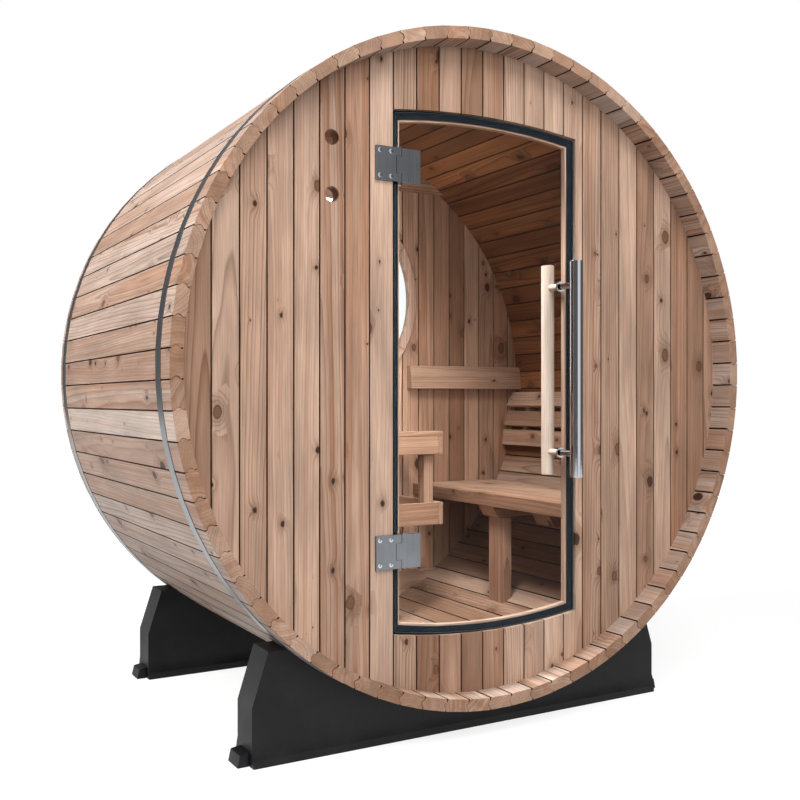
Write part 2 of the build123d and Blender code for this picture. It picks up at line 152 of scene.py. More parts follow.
def long_noise(
    tree: bpy.types.NodeTree, place: bpy.types.NodeSocket, per_metre: Point3, detail: float
) -> bpy.types.NodeSocket:
    """Lay noise with cells that are longer one way than another, such as fibres or brushed lines.

    Args:
        tree: Node tree of the material.
        place: Coordinates in metres.
        per_metre: Cells in a metre along each axis.
        detail: Levels of finer noise in it.

    Returns:
        The noise, from 0 to 1.
    """
    stretched = add_node(tree, "Mapping", {"Vector": place, "Scale": per_metre})
    return add_node(tree, "TexNoise", {"Vector": stretched, "Scale": 1.0, "Detail": detail})


def bell(tree: bpy.types.NodeTree, distance: bpy.types.NodeSocket) -> bpy.types.NodeSocket:
    """Turn a distance into a bell curve.

    Args:
        tree: Node tree of the material.
        distance: Distance from the middle, as a share of the bell's reach.

    Returns:
        One in the middle, falling to zero on both sides.
    """
    curve = add_node(tree, "Math", {0: distance, 1: 2.0}, operation="POWER")
    curve = add_node(tree, "Math", {0: curve, 1: -1.0}, operation="MULTIPLY")
    return add_node(tree, "Math", {0: curve}, operation="EXPONENT")


def shaded(
    tree: bpy.types.NodeTree, colour: bpy.types.NodeSocket | Colour, shade: bpy.types.NodeSocket
) -> bpy.types.NodeSocket:
    """Make a colour lighter and darker from place to place.

    Args:
        tree: Node tree of the material.
        colour: The colour.
        shade: Number that it is multiplied by.

    Returns:
        The shaded colour.
    """
    grey = add_node(tree, "CombineColor", {0: shade, 1: shade, 2: shade})
    return add_node(tree, "Mix", {0: 1.0, 6: colour, 7: grey}, 2, data_type="RGBA", blend_type="MULTIPLY")


class Finish(ABC):
    """What a piece is made of and how its surface was worked.

    Attributes:
        name: Name of its material.
    """

    name: str

    @abstractmethod
    def surface(self, tree: bpy.types.NodeTree) -> bpy.types.NodeSocket:
        """Lay the finish out as shader nodes.

        Args:
            tree: Empty node tree of the material.

        Returns:
            The shader.
        """

    def material(self) -> bpy.types.Material:
        """Give the finish as a material.

        Returns:
            The material, built the first time it is asked for.
        """
        material = bpy.data.materials.get(self.name)
        if material is None:
            material = bpy.data.materials.new(self.name)
            material.use_nodes = True
            tree = material.node_tree
            tree.nodes.clear()
            add_node(tree, "OutputMaterial", {"Surface": self.surface(tree)})
        return material


@dataclass(frozen=True)
class Knots:
    """One size of knots in a board.

    Attributes:
        spacing: Usual distance between them.
        largest: Radius of the largest.
        absent: Share of the places that have none.
        offset: Shift of the places, so that two sizes don't fall together.
        roundness: Width of a knot over its length with the grain.
        scatter: How far knots stray from even spacing, from 0 to 1.
        wobble: How far a knot's outline strays from an oval.
        bumps: Bumps of that outline in a metre, each about 9 mm.
        fade: Share of the largest radius that is taken off, so that some places stay clear.
    """

    spacing: float
    largest: float
    absent: float
    offset: float
    roundness: float = 0.66
    scatter: float = 0.95
    wobble: float = 5 * MM
    bumps: float = 110.0
    fade: float = 0.3

    def lay(self, tree: bpy.types.NodeTree, place: bpy.types.NodeSocket) -> tuple[bpy.types.NodeSocket, ...]:
        """Lay the knots along the boards as ovals with the grain.

        Args:
            tree: Node tree of the material.
            place: Coordinates across, along and through the board.

        Returns:
            Distance from the knot's centre, its radius, and a number of its own from 0 to 1.
        """
        per_metre = 1 / self.spacing
        shift = (self.offset, self.offset, 0)
        scale = (per_metre, self.roundness * per_metre, 1)
        where = add_node(tree, "Mapping", {"Vector": place, "Location": shift, "Scale": scale})
        cells = {"Vector": where, "Scale": 1.0, "Randomness": self.scatter}
        cell = add_node(tree, "TexVoronoi", cells, voronoi_dimensions="2D")
        dice = add_node(tree, "SeparateColor", {0: cell.node.outputs["Color"]})
        wobble = add_node(tree, "TexNoise", {"Vector": place, "Scale": self.bumps, "Detail": 1.0})
        distance = add_node(tree, "Math", {0: cell, 1: self.spacing}, operation="MULTIPLY")
        distance = add_node(tree, "Math", {0: wobble, 1: self.wobble, 2: distance}, operation="MULTIPLY_ADD")
        distance = add_node(tree, "Math", {0: distance, 1: self.wobble / 2}, operation="SUBTRACT")
        smallest = -self.fade * self.largest
        radius = add_node(tree, "MapRange", {0: dice, 1: self.absent, 2: 1.0, 3: smallest, 4: self.largest})
        return distance, radius, dice.node.outputs[1]


@dataclass(frozen=True)
class PlanedSoftwood(Finish):
    """Planed and untreated knotty softwood.

    Growth rings lie round a pith of each board's own, so that its faces show straight or arched
    lines and its ends show arcs. Knots are brown ovals with rings of their own that the grain
    flows round, and a few are nearly black.

    Attributes:
        name: Name of the material.
        pale: Colour of the light wood of a ring.
        warm: Colour of the redder streaks.
        late: Colour of the dark edge of a ring.
        deep: Colour that darker boards lean to.
        knot: Colour of a sound knot.
        knot_ring: Colour of its dark rings.
        dead_knot: Colour of dead knots and pin knots.
        bark: Colour of the thin line of bark round a knot.
        ring: Distance between rings, nearer 3 mm in the wood and drawn wider so that they show.
        whorl: Distance between a knot's own rings, nearer 1 mm and drawn wider too.
        bark_width: Width of the line of bark.
        taper: How fast rings run out along a board.
        drift: How far the rings drift from straight.
        drifts: Drifts in a metre across and along the grain, each about 110 by 900 mm.
        swell: How far rings are pushed aside by a knot, in radii of the knot.
        uneven: How far a ring strays in a wet or dry year.
        years: Depth of wood in a spell of such years.
        red_years: Depth of wood in a spell of redder years.
        streaks: Red streaks in a metre, each about 24 by 770 mm.
        fibres: Fibres in a metre, each about 2.4 by 110 mm and drawn coarse so that they show.
        blotches: Paler and darker patches in a metre, each about 60 by 310 mm.
        fibre_shade: Darkest and lightest shade of a fibre.
        blotch_shade: Darkest and lightest shade of a patch.
        large_knots: The knots where branches grew.
        pin_knots: The small knots between them.
        figure: How strongly the rings are drawn.
        roughness: Mean roughness of the surface.
        gloss: Specular level, low because dry wood has no sheen.
    """

    name: str
    pale: str
    warm: str
    late: str
    deep: str
    knot: str = "#7C5A45"
    knot_ring: str = "#492E1F"
    dead_knot: str = "#301E15"
    bark: str = "#432A1C"
    ring: float = 7.5 * MM
    whorl: float = 2.6 * MM
    bark_width: float = 1.4 * MM
    taper: float = 0.012
    drift: float = 26 * MM
    drifts: Point3 = (9, 1.1, 9)
    swell: float = 2.6
    uneven: float = 9 * MM
    years: float = 16 * MM
    red_years: float = 13 * MM
    streaks: Point3 = (42, 1.3, 42)
    fibres: Point3 = (420, 9, 420)
    blotches: Point3 = (16, 3.2, 16)
    fibre_shade: Point2 = (0.82, 1.13)
    blotch_shade: Point2 = (0.78, 1.15)
    large_knots: Knots = Knots(125 * MM, 13.5 * MM, 0.45, 0.0)
    pin_knots: Knots = Knots(70 * MM, 5.0 * MM, 0.66, 7.3)
    figure: float = 0.95
    roughness: float = 0.55
    gloss: float = 0.3

    def knots(
        self, tree: bpy.types.NodeTree, place: bpy.types.NodeSocket
    ) -> tuple[bpy.types.NodeSocket, ...]:
        """Lay both sizes of knots and keep the one that each point lies deepest in.

        Args:
            tree: Node tree of the material.
            place: Coordinates across, along and through the board.

        Returns:
            Distance from the knot's centre, depth inside its edge, its radius, a number of its own
            from 0 to 1, and one where it is a pin knot.
        """
        distance, radius, number = self.large_knots.lay(tree, place)
        pin_distance, pin_radius, _ = self.pin_knots.lay(tree, place)
        inside = add_node(tree, "Math", {0: radius, 1: distance}, operation="SUBTRACT")
        pin_inside = add_node(tree, "Math", {0: pin_radius, 1: pin_distance}, operation="SUBTRACT")
        is_pin = add_node(tree, "Math", {0: pin_inside, 1: inside}, operation="GREATER_THAN")
        inside = add_node(tree, "Math", {0: inside, 1: pin_inside}, operation="MAXIMUM")
        distance = add_node(tree, "Mix", {0: is_pin, 2: distance, 3: pin_distance})
        radius = add_node(tree, "Mix", {0: is_pin, 2: radius, 3: pin_radius})
        size = add_node(tree, "Math", {0: radius, 1: 0.0}, operation="MAXIMUM")
        return distance, inside, size, number, is_pin

    def rings(
        self,
        tree: bpy.types.NodeTree,
        place: bpy.types.NodeSocket,
        swell: bpy.types.NodeSocket,
        figure: bpy.types.NodeSocket,
    ) -> tuple[bpy.types.NodeSocket, bpy.types.NodeSocket]:
        """Lay growth rings round the board's pith.

        Args:
            tree: Node tree of the material.
            place: Coordinates across, along and through the board.
            swell: How far a knot reaches into the wood here.
            figure: How strongly this board shows its rings, from 0 to 1.

        Returns:
            Depth from the pith, and the dark late wood of each ring from 0 to 1.
        """
        along = add_node(tree, "SeparateXYZ", {0: place}, output=1)
        flat = add_node(tree, "VectorMath", {0: place, 1: (1, 0, 1)}, operation="MULTIPLY")
        depth = add_node(tree, "VectorMath", {0: flat}, output="Value", operation="LENGTH")
        drift = long_noise(tree, place, self.drifts, 2.0)
        depth = add_node(tree, "Math", {0: along, 1: self.taper, 2: depth}, operation="MULTIPLY_ADD")
        depth = add_node(tree, "Math", {0: drift, 1: self.drift, 2: depth}, operation="MULTIPLY_ADD")
        depth = add_node(tree, "Math", {0: swell, 1: self.swell, 2: depth}, operation="MULTIPLY_ADD")
        years = add_node(tree, "Math", {0: depth, 1: 1 / self.years}, operation="MULTIPLY")
        season = add_node(tree, "TexNoise", {"W": years, "Scale": 1.0, "Detail": 1.0}, noise_dimensions="1D")
        depth = add_node(tree, "Math", {0: season, 1: self.uneven, 2: depth}, operation="MULTIPLY_ADD")
        ring = add_node(tree, "Math", {0: depth, 1: self.ring}, operation="DIVIDE")
        ring = add_node(tree, "Math", {0: ring}, operation="FRACT")
        late = add_node(tree, "Math", {0: ring, 1: 3.2}, operation="POWER")
        fall = add_node(tree, "MapRange", {0: ring, 1: 0.92, 2: 1.0, 3: 1.0, 4: 0.0})
        late = add_node(tree, "Math", {0: late, 1: fall}, operation="MULTIPLY")
        drawn = add_node(tree, "MapRange", {0: figure, 1: 0.0, 2: 1.0, 3: 0.3, 4: 1.0})
        late = add_node(tree, "Math", {0: late, 1: drawn}, operation="MULTIPLY")
        late = add_node(tree, "Math", {0: late, 1: self.figure}, operation="MULTIPLY", use_clamp=True)
        return depth, late

    def redness(
        self,
        tree: bpy.types.NodeTree,
        place: bpy.types.NodeSocket,
        depth: bpy.types.NodeSocket,
        warmth: bpy.types.NodeSocket,
    ) -> bpy.types.NodeSocket:
        """Lay redder years and long red streaks.

        Args:
            tree: Node tree of the material.
            place: Coordinates across, along and through the board.
            depth: Depth from the pith.
            warmth: How red this board is, from 0 to 1.

        Returns:
            Share of the warm colour.
        """
        bands = add_node(tree, "Math", {0: depth, 1: 1 / self.red_years}, operation="MULTIPLY")
        bands = add_node(tree, "TexNoise", {"W": bands, "Scale": 1.0, "Detail": 2.0}, noise_dimensions="1D")
        bands = add_node(tree, "MapRange", {0: bands, 1: 0.38, 2: 0.68, 3: 0.0, 4: 1.0})
        red = long_noise(tree, place, self.streaks, 3.0)
        red = add_node(tree, "MapRange", {0: red, 1: 0.35, 2: 0.7, 3: 0.0, 4: 1.0})
        red = add_node(tree, "Math", {0: red, 1: bands}, operation="ADD")
        red = add_node(tree, "Math", {0: red, 1: 0.85}, operation="MULTIPLY")
        return add_node(tree, "Math", {0: red, 1: warmth}, operation="MULTIPLY", use_clamp=True)

    def knot_colour(
        self,
        tree: bpy.types.NodeTree,
        distance: bpy.types.NodeSocket,
        number: bpy.types.NodeSocket,
        is_pin: bpy.types.NodeSocket,
    ) -> bpy.types.NodeSocket:
        """Colour the inside of the knots, ringed where they are sound and nearly black where they are dead.

        Args:
            tree: Node tree of the material.
            distance: Distance from the knot's centre.
            number: The knot's own number.
            is_pin: One where it is a pin knot.

        Returns:
            The knots' colour.
        """
        whorl = add_node(tree, "Math", {0: distance, 1: math.tau / self.whorl}, operation="MULTIPLY")
        whorl = add_node(tree, "Math", {0: whorl}, operation="SINE")
        whorl = add_node(tree, "Math", {0: whorl, 1: 0.35, 2: 0.4}, operation="MULTIPLY_ADD")
        sound = {0: whorl, 6: linear(self.knot), 7: linear(self.knot_ring)}
        knot = add_node(tree, "Mix", sound, 2, data_type="RGBA")
        dead = add_node(tree, "MapRange", {0: number, 1: 0.6, 2: 0.75, 3: 0.0, 4: 0.85})
        dead = add_node(tree, "Math", {0: dead, 1: is_pin}, operation="MAXIMUM")
        return add_node(tree, "Mix", {0: dead, 6: knot, 7: linear(self.dead_knot)}, 2, data_type="RGBA")

    def surface(self, tree: bpy.types.NodeTree) -> bpy.types.NodeSocket:
        """Lay out rings, streaks, fibres and knots.

        Args:
            tree: Empty node tree of the material.

        Returns:
            The shader.
        """
        place = add_node(tree, "Attribute", output="Vector", attribute_name=GRAIN)
        traits = add_node(tree, "Attribute", output="Vector", attribute_name=BOARD)
        tone, warmth, figure = add_node(tree, "SeparateXYZ", {0: traits}).node.outputs[:3]

        # Where the knots are, and how far they are felt in the wood round them.
        distance, inside, size, number, is_pin = self.knots(tree, place)
        reach = add_node(tree, "Math", {0: size, 1: 2.2, 2: 4 * MM}, operation="MULTIPLY_ADD")
        near = bell(tree, add_node(tree, "Math", {0: distance, 1: reach}, operation="DIVIDE"))
        swell = add_node(tree, "Math", {0: near, 1: size}, operation="MULTIPLY")

        # The clear wood.
        depth, late = self.rings(tree, place, swell, figure)
        red = self.redness(tree, place, depth, warmth)
        fibre = long_noise(tree, place, self.fibres, 3.0)
        blotch = long_noise(tree, place, self.blotches, 3.0)
        clear = {0: red, 6: linear(self.pale), 7: linear(self.warm)}
        colour = add_node(tree, "Mix", clear, 2, data_type="RGBA")
        colour = add_node(tree, "Mix", {0: tone, 6: colour, 7: linear(self.deep)}, 2, data_type="RGBA")
        colour = add_node(tree, "Mix", {0: late, 6: colour, 7: linear(self.late)}, 2, data_type="RGBA")
        halo = add_node(tree, "MapRange", {0: size, 1: 0.0, 2: 5 * MM, 3: 0.0, 4: 0.55})
        halo = add_node(tree, "Math", {0: halo, 1: near}, operation="MULTIPLY")
        colour = add_node(tree, "Mix", {0: halo, 6: colour, 7: linear(self.late)}, 2, data_type="RGBA")
        dark, light = self.fibre_shade
        shade = add_node(tree, "MapRange", {0: fibre, 1: LOW_NOISE, 2: HIGH_NOISE, 3: dark, 4: light})
        dark, light = self.blotch_shade
        cloud = add_node(tree, "MapRange", {0: blotch, 1: LOW_NOISE, 2: HIGH_NOISE, 3: dark, 4: light})
        shade = add_node(tree, "Math", {0: shade, 1: cloud}, operation="MULTIPLY")
        colour = shaded(tree, colour, shade)

        # The knots and the bark round them.
        knot = self.knot_colour(tree, distance, number, is_pin)
        edge = {0: inside, 1: 1 / (2 * MM), 2: 0.5}
        shows = add_node(tree, "Math", edge, operation="MULTIPLY_ADD", use_clamp=True)
        bark = bell(tree, add_node(tree, "Math", {0: inside, 1: self.bark_width}, operation="DIVIDE"))
        bold = add_node(tree, "MapRange", {0: size, 1: 1 * MM, 2: 5 * MM, 3: 0.0, 4: 0.8})
        bark = add_node(tree, "Math", {0: bark, 1: bold}, operation="MULTIPLY")
        colour = add_node(tree, "Mix", {0: shows, 6: colour, 7: knot}, 2, data_type="RGBA")
        colour = add_node(tree, "Mix", {0: bark, 6: colour, 7: linear(self.bark)}, 2, data_type="RGBA")

        # Late wood and knots stand a little proud of the planed face.
        relief = add_node(tree, "Math", {0: fibre, 1: 0.6, 2: late}, operation="MULTIPLY_ADD")
        relief = add_node(tree, "Math", {0: shows, 1: 0.3, 2: relief}, operation="MULTIPLY_ADD")
        bump = add_node(tree, "Bump", {"Strength": 0.35, "Distance": 0.25 * MM, "Height": relief})
        uneven = {0: fibre, 1: 0.2, 2: self.roughness - 0.1}
        rough = add_node(tree, "Math", uneven, operation="MULTIPLY_ADD")
        wood = {"Base Color": colour, "Roughness": rough, "Normal": bump, "Specular IOR Level": self.gloss}
        return add_node(tree, "BsdfPrincipled", wood)


@dataclass(frozen=True)
class BrushedStainless(Finish):
    """Brushed stainless steel: a grey metal that blurs what it mirrors along fine lines.

    Attributes:
        name: Name of the material.
        colour: Colour of the metal.
        line: Spacing of the brushed lines, near 0.1 mm on the metal and drawn coarser to show.
        length: Lines in a metre of their length, each about 200 mm.
        smudges: Smudges in a metre, each about 60 mm.
        roughness: Mean roughness.
    """

    name: str = "brushed_stainless_steel"
    colour: str = "#878A8E"
    line: float = 0.7 * MM
    length: float = 5.0
    smudges: float = 16.0
    roughness: float = 0.3

    def surface(self, tree: bpy.types.NodeTree) -> bpy.types.NodeSocket:
        """Lay out brushed lines and faint smudges.

        Args:
            tree: Empty node tree of the material.

        Returns:
            The shader.
        """
        place = add_node(tree, "Attribute", output="Vector", attribute_name=GRAIN)
        lines = long_noise(tree, place, (1 / self.line, self.length, 1 / self.line), 2.0)
        smudge = add_node(tree, "TexNoise", {"Vector": place, "Scale": self.smudges, "Detail": 3.0})
        shade = add_node(tree, "MapRange", {0: lines, 1: 0.25, 2: 0.75, 3: 0.82, 4: 1.08})
        wiped = add_node(tree, "MapRange", {0: smudge, 1: LOW_NOISE, 2: HIGH_NOISE, 3: 0.9, 4: 1.04})
        shade = add_node(tree, "Math", {0: shade, 1: wiped}, operation="MULTIPLY")
        colour = shaded(tree, linear(self.colour), shade)
        smooth, dull = self.roughness - 0.06, self.roughness + 0.08
        rough = add_node(tree, "MapRange", {0: lines, 1: 0.2, 2: 0.8, 3: smooth, 4: dull})
        bump = add_node(tree, "Bump", {"Strength": 0.12, "Distance": 0.05 * MM, "Height": lines})
        metal = {"Base Color": colour, "Metallic": 1.0, "Roughness": rough, "Normal": bump}
        return add_node(tree, "BsdfPrincipled", metal)


@dataclass(frozen=True)
class PolishedChrome(Finish):
    """Polished chrome plate: a bright mirror with faint wiping marks.

    Attributes:
        name: Name of the material.
        colour: Colour of the plate.
        mark: Width of a wiping mark.
        wipe: Height of a wiping mark.
        roughness: Mean roughness.
    """

    name: str = "polished_chrome_plate"
    colour: str = "#C4C7CC"
    mark: float = 8 * MM
    wipe: float = 50 * MM
    roughness: float = 0.07

    def surface(self, tree: bpy.types.NodeTree) -> bpy.types.NodeSocket:
        """Lay out a mirror and its wiping marks.

        Args:
            tree: Empty node tree of the material.

        Returns:
            The shader.
        """
        place = add_node(tree, "TexCoord", output="Object")
        marks = long_noise(tree, place, (1 / self.mark, 1 / self.mark, 1 / self.wipe), 3.0)
        smooth, dull = self.roughness * 0.6, self.roughness * 1.8
        rough = add_node(tree, "MapRange", {0: marks, 1: LOW_NOISE, 2: 0.75, 3: smooth, 4: dull})
        metal = {"Base Color": linear(self.colour), "Metallic": 1.0, "Roughness": rough}
        return add_node(tree, "BsdfPrincipled", metal)


@dataclass(frozen=True)
class ExtrudedRubber(Finish):
    """Extruded rubber gasket: matt black with a fine skin and a little dust.

    Attributes:
        name: Name of the material.
        colour: Colour of the rubber.
        dust: Colour of the dust on it.
        skin: Size of the grain of its skin.
        clouds: Clouds of dust in a metre, each about 45 mm.
        gloss: Specular level, low because the skin is dull.
    """

    name: str = "extruded_black_rubber"
    colour: str = "#11161D"
    dust: str = "#1E232A"
    skin: float = 1.5 * MM
    clouds: float = 22.0
    gloss: float = 0.12

    def surface(self, tree: bpy.types.NodeTree) -> bpy.types.NodeSocket:
        """Lay out a dull skin and dust.

        Args:
            tree: Empty node tree of the material.

        Returns:
            The shader.
        """
        place = add_node(tree, "TexCoord", output="Object")
        skin = add_node(tree, "TexNoise", {"Vector": place, "Scale": 1 / self.skin, "Detail": 2.0})
        cloud = add_node(tree, "TexNoise", {"Vector": place, "Scale": self.clouds, "Detail": 3.0})
        dusty = add_node(tree, "MapRange", {0: cloud, 1: 0.45, 2: 0.75, 3: 0.0, 4: 0.6})
        shades = {0: dusty, 6: linear(self.colour), 7: linear(self.dust)}
        colour = add_node(tree, "Mix", shades, 2, data_type="RGBA")
        rough = add_node(tree, "MapRange", {0: skin, 1: LOW_NOISE, 2: HIGH_NOISE, 3: 0.5, 4: 0.7})
        bump = add_node(tree, "Bump", {"Strength": 0.2, "Distance": 0.1 * MM, "Height": skin})
        rubber = {"Base Color": colour, "Roughness": rough, "Normal": bump, "Specular IOR Level": self.gloss}
        return add_node(tree, "BsdfPrincipled", rubber)


@dataclass(frozen=True)
class PaintedTimber(Finish):
    """Satin black paint on planed timber: near black, the grain faintly raised, dusty in clouds.

    Attributes:
        name: Name of the material.
        paint: Colour of the paint.
        rubbed: Colour where the paint is thin or dusty.
        grain: Width of the raised grain.
        length: Raised lines in a metre of their length, each about 140 mm.
        clouds: Dusty clouds in a metre, each about 110 mm.
        flecks: Flecks in a metre, each about 2.6 mm.
        gloss: Specular level of the satin paint.
    """

    name: str = "satin_black_painted_timber"
    paint: str = "#0C0B0D"
    rubbed: str = "#252426"
    grain: float = 3 * MM
    length: float = 7.0
    clouds: float = 9.0
    flecks: float = 380.0
    gloss: float = 0.25

    def surface(self, tree: bpy.types.NodeTree) -> bpy.types.NodeSocket:
        """Lay out paint over raised grain.

        Args:
            tree: Empty node tree of the material.

        Returns:
            The shader.
        """
        place = add_node(tree, "TexCoord", output="Object")
        grain = long_noise(tree, place, (self.length, 1 / self.grain, 1 / self.grain), 3.0)
        cloud = add_node(tree, "TexNoise", {"Vector": place, "Scale": self.clouds, "Detail": 4.0})
        fleck = add_node(tree, "TexNoise", {"Vector": place, "Scale": self.flecks, "Detail": 2.0})
        wear = add_node(tree, "MapRange", {0: cloud, 1: 0.4, 2: 0.7, 3: 0.0, 4: 0.75})
        specks = add_node(tree, "MapRange", {0: fleck, 1: 0.55, 2: 0.75, 3: 0.0, 4: 0.4})
        wear = add_node(tree, "Math", {0: wear, 1: specks}, operation="ADD", use_clamp=True)
        shades = {0: wear, 6: linear(self.paint), 7: linear(self.rubbed)}
        colour = add_node(tree, "Mix", shades, 2, data_type="RGBA")
        rough = add_node(tree, "MapRange", {0: cloud, 1: LOW_NOISE, 2: HIGH_NOISE, 3: 0.42, 4: 0.6})
        bump = add_node(tree, "Bump", {"Strength": 0.25, "Distance": 0.2 * MM, "Height": grain})
        paint = {"Base Color": colour, "Roughness": rough, "Normal": bump, "Specular IOR Level": self.gloss}
        return add_node(tree, "BsdfPrincipled", paint)


@dataclass(frozen=True)
class ToughenedGlass(Finish):
    """Toughened float glass with wiped faces: clear, with hardly a reflection.

    Attributes:
        name: Name of the material.
        tint: Colour of the light that it lets through.
        ior: Bending of light, 1.5 in the glass and lowered because the pane mirrors hardly anything.
    """

    name: str = "toughened_clear_glass"
    tint: str = "#FCFEFE"
    ior: float = 1.12

    def surface(self, tree: bpy.types.NodeTree) -> bpy.types.NodeSocket:
        """Lay out glass that lamplight passes straight through.

        Args:
            tree: Empty node tree of the material.

        Returns:
            The shader.
        """
        tint = linear(self.tint)
        pane = {"Base Color": tint, "Roughness": 0.0, "IOR": self.ior, "Transmission Weight": 1.0}
        glass = add_node(tree, "BsdfPrincipled", pane)
        clear = add_node(tree, "BsdfTransparent", {0: tint})
        rays = add_node(tree, "LightPath").node.outputs
        lit = {0: rays["Is Shadow Ray"], 1: rays["Is Diffuse Ray"]}
        light = add_node(tree, "Math", lit, operation="MAXIMUM")
        return add_node(tree, "MixShader", {0: light, 1: glass, 2: clear})


@dataclass(frozen=True)
class GroundGlassEdge(Finish):
    """Ground edge of float glass: a thin blue-green line, because the eye looks down its depth.

    Attributes:
        name: Name of the material.
        tint: Colour of the edge.
        grit: Size of the grinding marks, finer on the glass and drawn coarser so that they show.
        ior: Bending of light, as in the pane's faces.
        clear: Share of the light that passes through the ground surface.
    """

    name: str = "ground_glass_edge"
    tint: str = "#A9D2CE"
    grit: float = 1.2 * MM
    ior: float = 1.12
    clear: float = 0.96

    def surface(self, tree: bpy.types.NodeTree) -> bpy.types.NodeSocket:
        """Lay out frosted green glass.

        Args:
            tree: Empty node tree of the material.

        Returns:
            The shader.
        """
        place = add_node(tree, "TexCoord", output="Object")
        marks = add_node(tree, "TexNoise", {"Vector": place, "Scale": 1 / self.grit, "Detail": 2.0})
        rough = add_node(tree, "MapRange", {0: marks, 1: LOW_NOISE, 2: HIGH_NOISE, 3: 0.3, 4: 0.5})
        tint = linear(self.tint)
        edge = {"Base Color": tint, "Roughness": rough, "IOR": self.ior, "Transmission Weight": self.clear}
        return add_node(tree, "BsdfPrincipled", edge)


# Planed staves outdoors: pale brown, their dark rings and knots drawn clearly by daylight.
STAVE_WOOD = PlanedSoftwood("planed_stave_softwood", "#CCBDB2", "#AE8A74", "#664634", "#9A7863")
# Ceiling and sides of the cabin: painted shade, a deep red-brown copy of the stave wood, darker than the
# staves outside, in which the rings are faint.
SHADED_CABIN_WOOD = PlanedSoftwood("painted_shade_cabin_softwood", "#A87148", "#82502F", "#3A1D0C", "#45220F")
# Floor that feet have trodden: duller and greyer than the walls.
FLOOR_WOOD = PlanedSoftwood("trodden_floor_softwood", "#B59A87", "#94705A", "#5E4230", "#7C5B46")
# Planed boards of the front wall: the palest and pinkest of the large faces.
WALL_WOOD = PlanedSoftwood("planed_wall_softwood", "#C9AC98", "#A87E65", "#5C3C2A", "#815E48")
# Planed boards of the back wall, seen indoors: warmer, and softer in their contrast.
INSIDE_WOOD = PlanedSoftwood("planed_back_wall_softwood", "#CDAA92", "#A97D62", "#684634", "#7E5A44")
# Sanded benches and rails: an even warm brown that skin has smoothed.
BENCH_WOOD = PlanedSoftwood("sanded_bench_softwood", "#BE9D86", "#9E765E", "#6E4D39", "#86634D")
# Sawn ends of the staves: dull, with faint arcs of rings and hardly a knot.
END_WOOD = PlanedSoftwood(
    "sawn_stave_end_grain",
    "#B89C89",
    "#9C745C",
    "#70503C",
    "#86634C",
    large_knots=Knots(200 * MM, 9 * MM, 0.9, 0.0),
    pin_knots=Knots(90 * MM, 4 * MM, 0.85, 7.3),
    figure=0.6,
    roughness=0.65,
)
# Faces inside the joints: painted shade, a dark finish that stands in for the shade deep in each joint and
# draws dark lines between the boards.
JOINT_SHADE_WOOD = PlanedSoftwood(
    "painted_shade_joint_softwood",
    "#4A3427",
    "#3A271C",
    "#2C1D15",
    "#35241A",
    figure=0.3,
    roughness=0.8,
)
# Sanded strips and rings round the openings: pale and fine, with few knots.
TRIM_WOOD = PlanedSoftwood(
    "sanded_trim_softwood",
    "#CDB3A1",
    "#B18B74",
    "#8B6751",
    "#AD8770",
    large_knots=Knots(300 * MM, 6 * MM, 0.8, 0.0),
    pin_knots=Knots(120 * MM, 3 * MM, 0.85, 7.3),
)
# Turned and sanded bar of the handle: nearly white, smooth and free of knots.
HANDLE_WOOD = PlanedSoftwood(
    "turned_pale_wood",
    "#D2BEAF",
    "#C4AA97",
    "#B79B87",
    "#C7B09F",
    large_knots=Knots(400 * MM, 1 * MM, 0.99, 0.0),
    pin_knots=Knots(400 * MM, 1 * MM, 0.99, 7.3),
    figure=0.25,
    roughness=0.5,
)
STEEL = BrushedStainless()
CHROME = PolishedChrome()
RUBBER = ExtrudedRubber()
PAINT = PaintedTimber()
GLASS = ToughenedGlass()
GLASS_EDGE = GroundGlassEdge()


@dataclass
class Timber:
    """Cuts each board of a sub-assembly from a log of its own.

    Attributes:
        seed: Start of the random draws.
        tone: Smallest and largest lean to the deep colour.
        pith: Smallest and largest distance from a board's middle to its pith.
        trunk: Smallest and largest place along the trunk, so far apart that no two boards repeat.
        warmth: Smallest and largest share of red streaks.
    """

    seed: int
    tone: Point2 = (0.0, 0.9)
    pith: Point2 = (25 * MM, 130 * MM)
    trunk: Point2 = (1.0, 60.0)
    warmth: Point2 = (0.1, 1.0)

    def __post_init__(self) -> None:
        """Start the draws."""
        self.dice = random.Random(self.seed)

    def cut(
        self,
        bm: bmesh.types.BMesh,
        verts: Iterable[bmesh.types.BMVert],
        along: Axis,
        across: Axis,
        middle: Vector,
    ) -> None:
        """Give a board's vertices their place in the log.

        Args:
            bm: Mesh that holds the board.
            verts: The board's vertices, in the pose in which along and across hold.
            along: Direction of the board's length.
            across: Direction of the board's width.
            middle: Middle of the board in that pose.
        """
        grain = bm.verts.layers.float_vector[GRAIN]
        board = bm.verts.layers.float_vector[BOARD]
        through = ({0, 1, 2} - {along.value, across.value}).pop()
        angle = self.dice.uniform(0, math.tau)
        away = self.dice.uniform(*self.pith)
        trunk = self.dice.uniform(*self.trunk)
        start = Vector((away * math.cos(angle), trunk, away * math.sin(angle)))
        tone = self.dice.uniform(*self.tone)
        traits = Vector((tone, self.dice.uniform(*self.warmth), self.dice.random()))
        for vert in verts:
            place = vert.co - middle
            vert[grain] = Vector((place[across.value], place[along.value], place[through])) + start
            vert[board] = traits

    def cut_by_size(self, bm: bmesh.types.BMesh) -> None:
        """Cut every separate board of a mesh, taking its longest side as its length.

        Args:
            bm: Mesh of boards that don't touch.
        """
        mark_out(bm)
        for verts in islands(bm):
            low, high = extent(verts)
            order = sorted(range(3), key=lambda i: high[i] - low[i])
            self.cut(bm, verts, Axis(order[2]), Axis(order[1]), (low + high) / 2)


